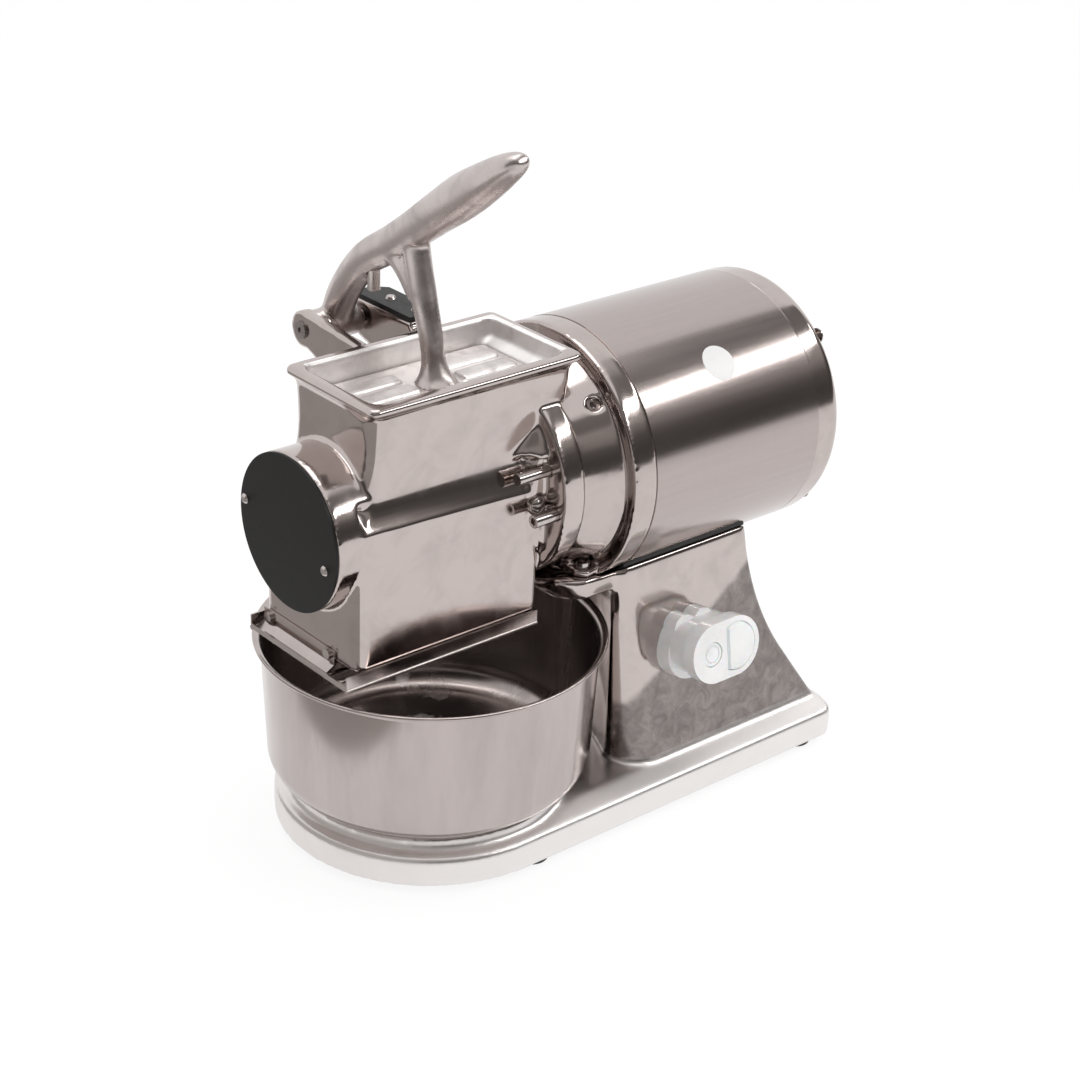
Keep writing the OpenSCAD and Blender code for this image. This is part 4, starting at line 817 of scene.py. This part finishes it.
@dataclass(frozen=True)
class Motor:
    """Motor lying on the pedestal.

    Args:
        datum: Places that it shares.
        cast: How its flange is rounded.
        casing_wall: Thickness of the casing.
        gap: Clearance at the casing's ends.
        cap_edge: Rounding of the rear cap.
        cap_wall: Thickness of the rear cap.
        cap_lip: How far the cap's bore lies inside the casing's radius.
        cap_step: Width of the cap's lip and of the chamfer in its bore.
        groove: Depth and width of the groove between casing and cap.
        nut_proud: How far the tie rods' nuts stand out of it.
        label_x: Middle of the bare label along X.
        label_turn: Its direction about the motor's axis, in degrees from +Y.
        label_r: Its radius.
        label_t: Its thickness.
        label_rings: Number of rings that let it follow the casing.
    """

    datum: Datum
    cast: Cast = Cast(1.25, 14)
    casing_wall: float = 1.4
    gap: float = 0.1
    cap_edge: float = 9.0
    cap_wall: float = 5.0
    cap_lip: float = 6.0
    cap_step: float = 4.0
    groove: float = 0.5
    nut_proud: float = 0.8
    label_x: float = 178.0
    label_turn: float = 135.0
    label_r: float = 12.0
    label_t: float = 0.15
    label_rings: int = 5

    def ring(self, node: str, name: str, outline: Sequence[tuple[float, float]],
             finish: Finish) -> None:
        """Turns one ring of the motor.

        Args:
            node: Node that it stands for.
            name: Name of the piece.
            outline: Closed outline as radius and place along X.
            finish: Its finish.
        """
        form = Form(self.datum)
        form.turn(outline, Axis.MOTOR, Vector((0, 0, self.datum.axis_z / MM)))
        form.piece(name, "machine", finish, [node])

    def span(self, node: str) -> tuple[float, float, float]:
        """Returns a node's front, rear and radius about the motor's axis."""
        low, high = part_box(node)
        x0 = (low.x - self.datum.bowl_x) / MM
        x1 = (high.x - self.datum.bowl_x) / MM
        return x0, x1, (high.y - low.y) / 2 / MM

    def build(self) -> None:
        """Makes the motor's pieces."""
        front, rear, radius = self.span("motor_casing")
        bore, start, end = radius - self.casing_wall, front + self.gap, rear - self.gap
        self.ring("motor_casing", "casing_sheet", [
            (bore, start), (radius, start), (radius, end), (bore, end)], Palette.casing)
        self.cast.piece(["front_flange"], "flange_casting", "machine", Palette.flange)
        self.cap(rear, radius)
        self.sticker(radius)

    def cap(self, joint: float, radius: float) -> None:
        """Turns the rear cap and sets its nuts nearly flush.

        Args:
            joint: Where the cap meets the casing.
            radius: The casing's radius.
        """
        front, rear, _ = self.span("rear_cap")
        lip, wall, edge = radius - self.cap_lip, self.cap_wall, self.cap_edge
        step, seam = self.cap_step, joint + self.gap
        corner = [(radius - edge + edge * math.cos(math.radians(a)),
                   rear - edge + edge * math.sin(math.radians(a))) for a in range(0, 91, 6)]
        self.ring("rear_cap", "rear_cap_casting", [
            (lip, front), (lip + step, front), (lip + step, seam + self.groove),
            (radius - self.groove, seam), (radius, seam + self.groove), *corner, (0.0, rear),
            (0.0, rear - wall), (lip - step, rear - wall), (lip, rear - wall - step)],
            Palette.flange)
        bm = solids(["tie_rods"])
        limit = self.datum.bowl_x + rear * MM + self.nut_proud * MM
        for vert in bm.verts:
            vert.co.x = min(vert.co.x, limit)
        dressed(bm, "rod_nuts", "machine", Palette.screw, ["tie_rods"], 30.0)

    def sticker(self, radius: float) -> None:
        """Sticks a bare round label on the casing.

        Args:
            radius: The casing's radius.
        """
        form = Form(self.datum)
        bmesh.ops.create_circle(form.bm, cap_ends=True, radius=self.label_r, segments=64)
        middle = form.bm.faces[:]
        for _ in range(self.label_rings):
            bmesh.ops.inset_region(form.bm, faces=middle, use_boundary=True, use_even_offset=True,
                                   thickness=self.label_r / (self.label_rings + 1))
        top = bmesh.ops.extrude_face_region(form.bm, geom=form.bm.faces[:])["geom"]
        for vert in top:
            if isinstance(vert, bmesh.types.BMVert):
                vert.co.z += self.label_t
        turn = math.radians(self.label_turn)
        axis = self.datum.axis_z / MM
        for vert in form.bm.verts:
            angle, out = turn + vert.co.y / radius, radius + vert.co.z
            vert.co = Vector((self.label_x + vert.co.x, out * math.cos(angle),
                              axis + out * math.sin(angle)))
        bmesh.ops.recalc_face_normals(form.bm, faces=form.bm.faces[:])
        piece = form.piece("round_label", "machine", Palette.label, sharp=50.0)


@dataclass(frozen=True)
class Head:
    """Grating head with hopper, boss, ring and guard.

    Args:
        datum: Places that it shares.
        cast: How its casting is rounded.
    """

    datum: Datum
    cast: Cast = Cast(1.4, 6)

    def build(self) -> None:
        """Makes the head's pieces."""
        self.cast.piece(["head_casting"], "head_shell", "machine", Palette.casting)
        Eased(0.3).piece("front_disc", "boss_disc", "machine", Palette.disc)
        Eased(0.3).piece("outlet_guard", "guard_strip", "machine", Palette.sheet)
        Eased(0.5).piece("sensor_lid", "box_lid", "machine", Palette.disc)
        Eased(0.5).piece("head_bolts", "ring_bolts", "machine", Palette.screw)
        Eased(0.4).piece("locking_screws", "chamber_screws", "machine", Palette.screw)


@dataclass(frozen=True)
class Lever:
    """Hand lever with its presser block.

    Args:
        datum: Places that it shares.
        arm: How its arm is rounded.
        block: How its presser block is rounded.
    """

    datum: Datum
    arm: Cast = Cast(1.2, 8)
    block: Cast = Cast(1.2, 4)

    def build(self) -> None:
        """Makes the lever's pieces."""
        self.arm.piece(["lever_arm"], "lever_casting", "lever", Palette.lever)
        self.block.piece(["presser"], "presser_block", "lever", Palette.block)
        Eased(0.4).piece("magnet_holder", "magnet_stud", "lever", Palette.screw)


@dataclass(frozen=True)
class Bowl:
    """Spun bowl with a beaded lip.

    Args:
        datum: Places that it shares.
        seat: Height of the floor's underside.
        edge_r: Outer radius of the rounding between floor and wall.
        foot_r: Radius of the wall at the floor.
        wall_r: Radius of the wall under the lip.
        rim_r: Radius of the lip.
        rim_z: Height of the lip.
        thick: Thickness of the sheet.
        bead: Radius of the lip's bead.
    """

    datum: Datum
    seat: float = 35.8
    edge_r: float = 18.0
    foot_r: float = 103.4
    wall_r: float = 106.6
    rim_r: float = 111.55
    rim_z: float = 132.0
    thick: float = 1.2
    bead: float = 1.2

    def outline(self) -> list[tuple[float, float]]:
        """Returns the sheet's closed outline as radius and height."""
        lip = self.rim_r - self.wall_r
        lip_z = self.rim_z - lip - self.thick
        edge_x, edge_z = self.foot_r - self.edge_r, self.seat + self.edge_r
        inner = self.edge_r - self.thick
        fine = [math.radians(a) for a in range(0, 91, 5)]
        under = [(edge_x + self.edge_r * math.sin(a), edge_z - self.edge_r * math.cos(a))
                 for a in fine]
        flare = [(self.rim_r - lip * math.cos(a), lip_z + lip * math.sin(a)) for a in fine[:-1]]
        middle = self.rim_z - self.bead
        roll = [(self.rim_r - self.bead + self.bead * math.cos(a), middle + self.bead * math.sin(a))
                for a in (math.radians(d) for d in range(-70, 171, 20))]
        outer = lip + self.thick
        back = [(self.rim_r - outer * math.cos(a), lip_z + outer * math.sin(a))
                for a in reversed(fine[:-3])]
        inside = [(edge_x + inner * math.sin(a), edge_z - inner * math.cos(a))
                  for a in reversed(fine)]
        return [(0.0, self.seat), *under, *flare, *roll, *back, *inside,
                (0.0, self.seat + self.thick)]

    def build(self) -> None:
        """Makes the bowl."""
        form = Form(self.datum)
        form.turn(self.outline(), Axis.UPRIGHT, Vector((0, 0, 0)))
        for face in form.bm.faces:
            face.material_index = int(self.is_inner(face))
        piece = form.piece("bowl_sheet", "bowl", Palette.bowl, ["bowl"], 45.0)
        piece.data.materials.append(Palette.inner.material())

    def is_inner(self, face: bmesh.types.BMFace) -> bool:
        """Returns whether a face looks to the bowl's inside."""
        middle = face.calc_center_median()
        flat = Vector((middle.x, middle.y, 0))
        if middle.z > self.rim_z - 2 * self.bead:
            return False
        if face.normal.z > 0.5:
            return True
        return flat.length > 0 and face.normal.dot(flat.normalized()) < -0.1


NODE_FINISH: dict[str, Finish] = {node: finish for finish, nodes in (
    (Palette.zinc, ("bottom_cover", "capacitor_clamp")),
    (Palette.screw, (
        "cover_screws", "foot_screws", "motor_screws", "neck_screw", "tie_rods", "head_bolts",
        "locking_screws", "disc_screws", "guard_pins", "lid_screws", "presser_screw",
        "magnet_holder")),
    (Palette.rubber, ("feet", "motor_gasket", "shaft_seal")),
    (Palette.dark, ("cable_gland", "safety_switch", "cooling_fan")),
    (Palette.can, ("capacitor",)),
    (Palette.stack, ("stator_core", "rotor_core")),
    (Palette.copper, ("stator_windings",)),
    (Palette.machined, ("front_bearing", "rear_bearing", "hinge_pin", "motor_shaft", "drum_nut")),
    (Palette.disc, ("front_disc", "sensor_lid")),
    (Palette.bronze, ("disc_bush",)),
    (Palette.sheet, ("outlet_guard",)),
    (Palette.shell, ("switch_housing",)),
    (Palette.drum, ("grating_drum",)),
    (Palette.flange, ("drum_ends", "front_flange", "rear_cap")),
    (Palette.bowl, ("bowl",)),
    (Palette.button, ("start_button", "stop_button")),
    (Palette.base, ("base_casting",)),
    (Palette.casing, ("motor_casing",)),
    (Palette.casting, ("head_casting",)),
    (Palette.lever, ("lever_arm",)),
    (Palette.block, ("presser",)),
) for node in nodes}


def dress_nodes(nodes: dict[str, bpy.types.Object]) -> None:
    """Gives every node of the frame its finish.

    Args:
        nodes: The frame's objects by node.
    """
    for name, node in nodes.items():
        node.data.materials.clear()
        node.data.materials.append(NODE_FINISH[name].material())


# Studio


@dataclass(frozen=True)
class Lamp:
    """One soft box, placed in millimetres from the bowl's centre line on the floor.

    Args:
        name: Name of the lamp.
        place: Where it hangs.
        size: Its width and height, in metres.
        power: Its power, in watts.
        aim: Where it points.
    """

    name: str
    place: tuple[float, float, float]
    size: tuple[float, float]
    power: float
    aim: tuple[float, float, float] = (60, 0, 200)

    def hang(self, datum: Datum) -> None:
        """Puts the lamp in the scene."""
        data = bpy.data.lights.new(self.name, "AREA")
        data.shape = "RECTANGLE"
        data.size, data.size_y = self.size
        data.energy = self.power
        lamp = bpy.data.objects.new(self.name, data)
        lamp.location = datum.at(*self.place)
        way = datum.at(*self.aim) - datum.at(*self.place)
        lamp.rotation_euler = way.to_track_quat("-Z", "Y").to_euler()
        bpy.context.scene.collection.objects.link(lamp)


@dataclass(frozen=True)
class Studio:
    """Camera, floor and light.

    Args:
        azimuth: Direction of the view about Z, in degrees.
        elevation: Height of the view, in degrees.
        roll: Turn of the picture, in degrees.
        distance: From the camera to its target.
        target: Place on the middle of the view.
        lens: Focal length.
        sensor: Width of the sensor.
        floor_half: Half the floor's width, in metres.
        floor_drop: How far the floor lies under the feet.
        floor_tone: Colour of the floor to indirect light.
        floor_faint: Colour that shows the shadow to the camera.
        floor_glow: Strength of the floor's own white.
        soft_level: Strength of the world's light.
        card_place: Middle of the grey card.
        card_size: Its width and height, in metres.
        card_tone: Its colour.
        curtain_far: Distance of the dark curtain, in metres.
        curtain_high: Its height, in metres.
        curtain_turn: How far it goes round, in degrees.
        curtain_steps: Number of its panels.
        curtain_tones: Its colours by share of its height.
        lamps: The soft boxes.
    """

    datum: Datum
    azimuth: float = -41.03
    elevation: float = 26.26
    roll: float = 2.16
    distance: float = 1509.84
    target: tuple[float, float, float] = (87.63, 0.0, 167.89)
    lens: float = 78.48
    sensor: float = 36.0
    floor_half: float = 40.0
    floor_drop: float = 0.2
    floor_tone: Colour = (0.82, 0.82, 0.82)
    floor_faint: Colour = (0.20, 0.20, 0.20)
    floor_glow: float = 0.84
    soft_level: float = 0.74
    card_place: tuple[float, float, float] = (-230.0, 200.0, 130.0)
    card_size: tuple[float, float] = (0.90, 0.26)
    card_tone: Colour = (0.44, 0.42, 0.41)
    curtain_far: float = 3.2
    curtain_high: float = 4.6
    curtain_turn: float = 188.0
    curtain_steps: int = 48
    curtain_tones: ClassVar[tuple[tuple[float, Colour], ...]] = (
        (0.00, (0.40, 0.38, 0.37)), (0.015, (0.100, 0.094, 0.090)), (0.14, (0.080, 0.075, 0.072)),
        (0.26, (0.120, 0.113, 0.109)), (0.36, (0.34, 0.32, 0.31)),
        (0.50, (0.40, 0.38, 0.37)), (0.60, (0.20, 0.19, 0.185)),
        (0.84, (0.24, 0.23, 0.225)), (1.00, (1.0, 1.0, 1.0)))
    lamps: tuple[Lamp, ...] = (
        Lamp("key_box", (930, -820, 1060), (1.5, 0.15), 6.5, (150, -40, 250)),
        Lamp("top_box", (100, 200, 1500), (1.2, 0.8), 6.0))

    def camera(self) -> None:
        """Sets the camera that matches the photograph's view."""
        a, e, r = (math.radians(v) for v in (self.azimuth, self.elevation, self.roll))
        back = Vector((math.sin(a) * math.cos(e), -math.cos(a) * math.cos(e), math.sin(e)))
        right = Vector((math.cos(a), math.sin(a), 0.0))
        up = back.cross(right)
        side = right * math.cos(r) + up * math.sin(r)
        top = up * math.cos(r) - right * math.sin(r)
        place = self.datum.at(*self.target) + back * self.distance * MM
        data = bpy.data.cameras.new("camera")
        data.lens = self.lens
        data.sensor_width = self.sensor
        data.clip_start = 0.05
        camera = bpy.data.objects.new("camera", data)
        turn = Matrix((side, top, back)).transposed().to_4x4()
        camera.matrix_world = Matrix.Translation(place) @ turn
        bpy.context.scene.collection.objects.link(camera)
        bpy.context.scene.camera = camera

    def floor(self) -> None:
        """Lays a plain pale floor, which shows white and keeps a faint shadow."""
        bm = bmesh.new()
        bmesh.ops.create_grid(bm, x_segments=1, y_segments=1, size=self.floor_half)
        floor = placed(bm, "floor")
        floor.location.z = -self.floor_drop * MM
        material, tree = blank("pale floor")
        matt = tree.value("ShaderNodeBsdfDiffuse", None, {"Color": (*self.floor_tone, 1)})
        faint = tree.value("ShaderNodeBsdfDiffuse", None, {"Color": (*self.floor_faint, 1)})
        glow = tree.value("ShaderNodeEmission", None, {"Strength": self.floor_glow})
        white = tree.value("ShaderNodeAddShader", None, {0: glow, 1: faint})
        seen = self.seen(tree)
        shade = tree.value("ShaderNodeMixShader", None, {0: seen, 1: matt, 2: white})
        tree.node("ShaderNodeOutputMaterial", None, {"Surface": shade})
        floor.data.materials.append(material)

    @staticmethod
    def seen(tree: Tree) -> Value:
        """Returns 1 for what the camera sees, straight, in metal or through something clear."""
        path = tree.node("ShaderNodeLightPath")
        rays = [Value(tree.tree, path.outputs[f"Is {kind} Ray"])
                for kind in ("Camera", "Glossy", "Transmission")]
        return (rays[0] + rays[1] + rays[2]).clamped()

    def world(self) -> None:
        """Surrounds the machine with white to the eye and a soft light on the rest."""
        world = bpy.data.worlds.new("studio")
        world.use_nodes = True
        bpy.context.scene.world = world
        world.node_tree.nodes.clear()
        tree = Tree(world.node_tree)
        soft = tree.value("ShaderNodeBackground", None, {
            "Color": (1, 1, 1, 1), "Strength": self.soft_level})
        white = tree.value("ShaderNodeBackground", None, {"Color": (1, 1, 1, 1), "Strength": 1.0})
        shade = tree.value("ShaderNodeMixShader", None, {0: self.seen(tree), 1: soft, 2: white})
        tree.node("ShaderNodeOutputWorld", None, {"Surface": shade})

    @staticmethod
    def hidden(name: str, bm: bmesh.types.BMesh, glow: Callable[[Tree], Value | Colour]) -> None:
        """Hangs a screen that only the metal shows.

        Args:
            name: Name of the screen.
            bm: Its mesh, which is freed.
            glow: Returns its colour in a given tree.
        """
        screen = placed(bm, name)
        screen.visible_camera = False
        screen.visible_shadow = False
        screen.visible_diffuse = False
        material, tree = blank(f"{name} cloth")
        tone = glow(tree)
        cloth = tree.value("ShaderNodeEmission", None, {
            "Color": tone if isinstance(tone, Value) else (*tone, 1.0), "Strength": 1.0})
        tree.node("ShaderNodeOutputMaterial", None, {"Surface": cloth})
        screen.data.materials.append(material)

    def curtain_glow(self, tree: Tree) -> Value:
        """Returns the curtain's colour, which changes with its height."""
        place = tree.value("ShaderNodeTexCoord", output="Object")
        height = tree.value("ShaderNodeSeparateXYZ", None, {0: place}, "Z")
        return tree.value("ShaderNodeValToRGB", {"stops": self.curtain_tones},
                          {0: height * (1 / self.curtain_high)})

    def curtain(self) -> None:
        """Hangs a dark curtain round the camera's side."""
        bm = bmesh.new()
        start = math.radians(-90 - self.curtain_turn / 2)
        foot = Vector((math.cos(start), math.sin(start), 0.0)) * self.curtain_far
        ends = [bm.verts.new(foot), bm.verts.new(foot + Vector((0, 0, self.curtain_high)))]
        bmesh.ops.spin(bm, geom=[*ends, bm.edges.new(ends)], cent=(0, 0, 0), axis=(0, 0, 1),
                       dvec=(0, 0, 0), angle=math.radians(self.curtain_turn),
                       steps=self.curtain_steps, use_merge=False, use_duplicate=False)
        self.hidden("curtain", bm, self.curtain_glow)

    def card(self) -> None:
        """Stands a grey card beside the bowl, which tones the faces that look forward."""
        bm = bmesh.new()
        bmesh.ops.create_grid(bm, x_segments=1, y_segments=1, size=0.5)
        place = Matrix.Translation(self.datum.at(*self.card_place))
        upright = Matrix.Rotation(math.radians(90), 4, "Y")
        wide, high = self.card_size
        bmesh.ops.transform(bm, verts=bm.verts[:], matrix=place @ upright @ Matrix.Diagonal(
            (high, wide, 1, 1)))
        self.hidden("grey_card", bm, lambda tree: self.card_tone)

    def build(self) -> None:
        """Sets up the whole studio."""
        self.camera()
        self.floor()
        self.world()
        self.curtain()
        self.card()
        for lamp in self.lamps:
            lamp.hang(self.datum)
        bpy.context.scene.view_settings.view_transform = "Standard"


def main() -> None:
    """Builds the machine's looks around the fixed frame."""
    logging.basicConfig(level=logging.INFO, format="%(message)s")
    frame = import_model()
    datum = Datum.read()
    Studio(datum).build()
    dress_nodes(frame["nodes"])
    for part in (Base(datum), Motor(datum), Head(datum), Lever(datum), Bowl(datum)):
        LOG.info("building %s", type(part).__name__.lower())
        part.build()


if __name__ == "__main__":
    main()
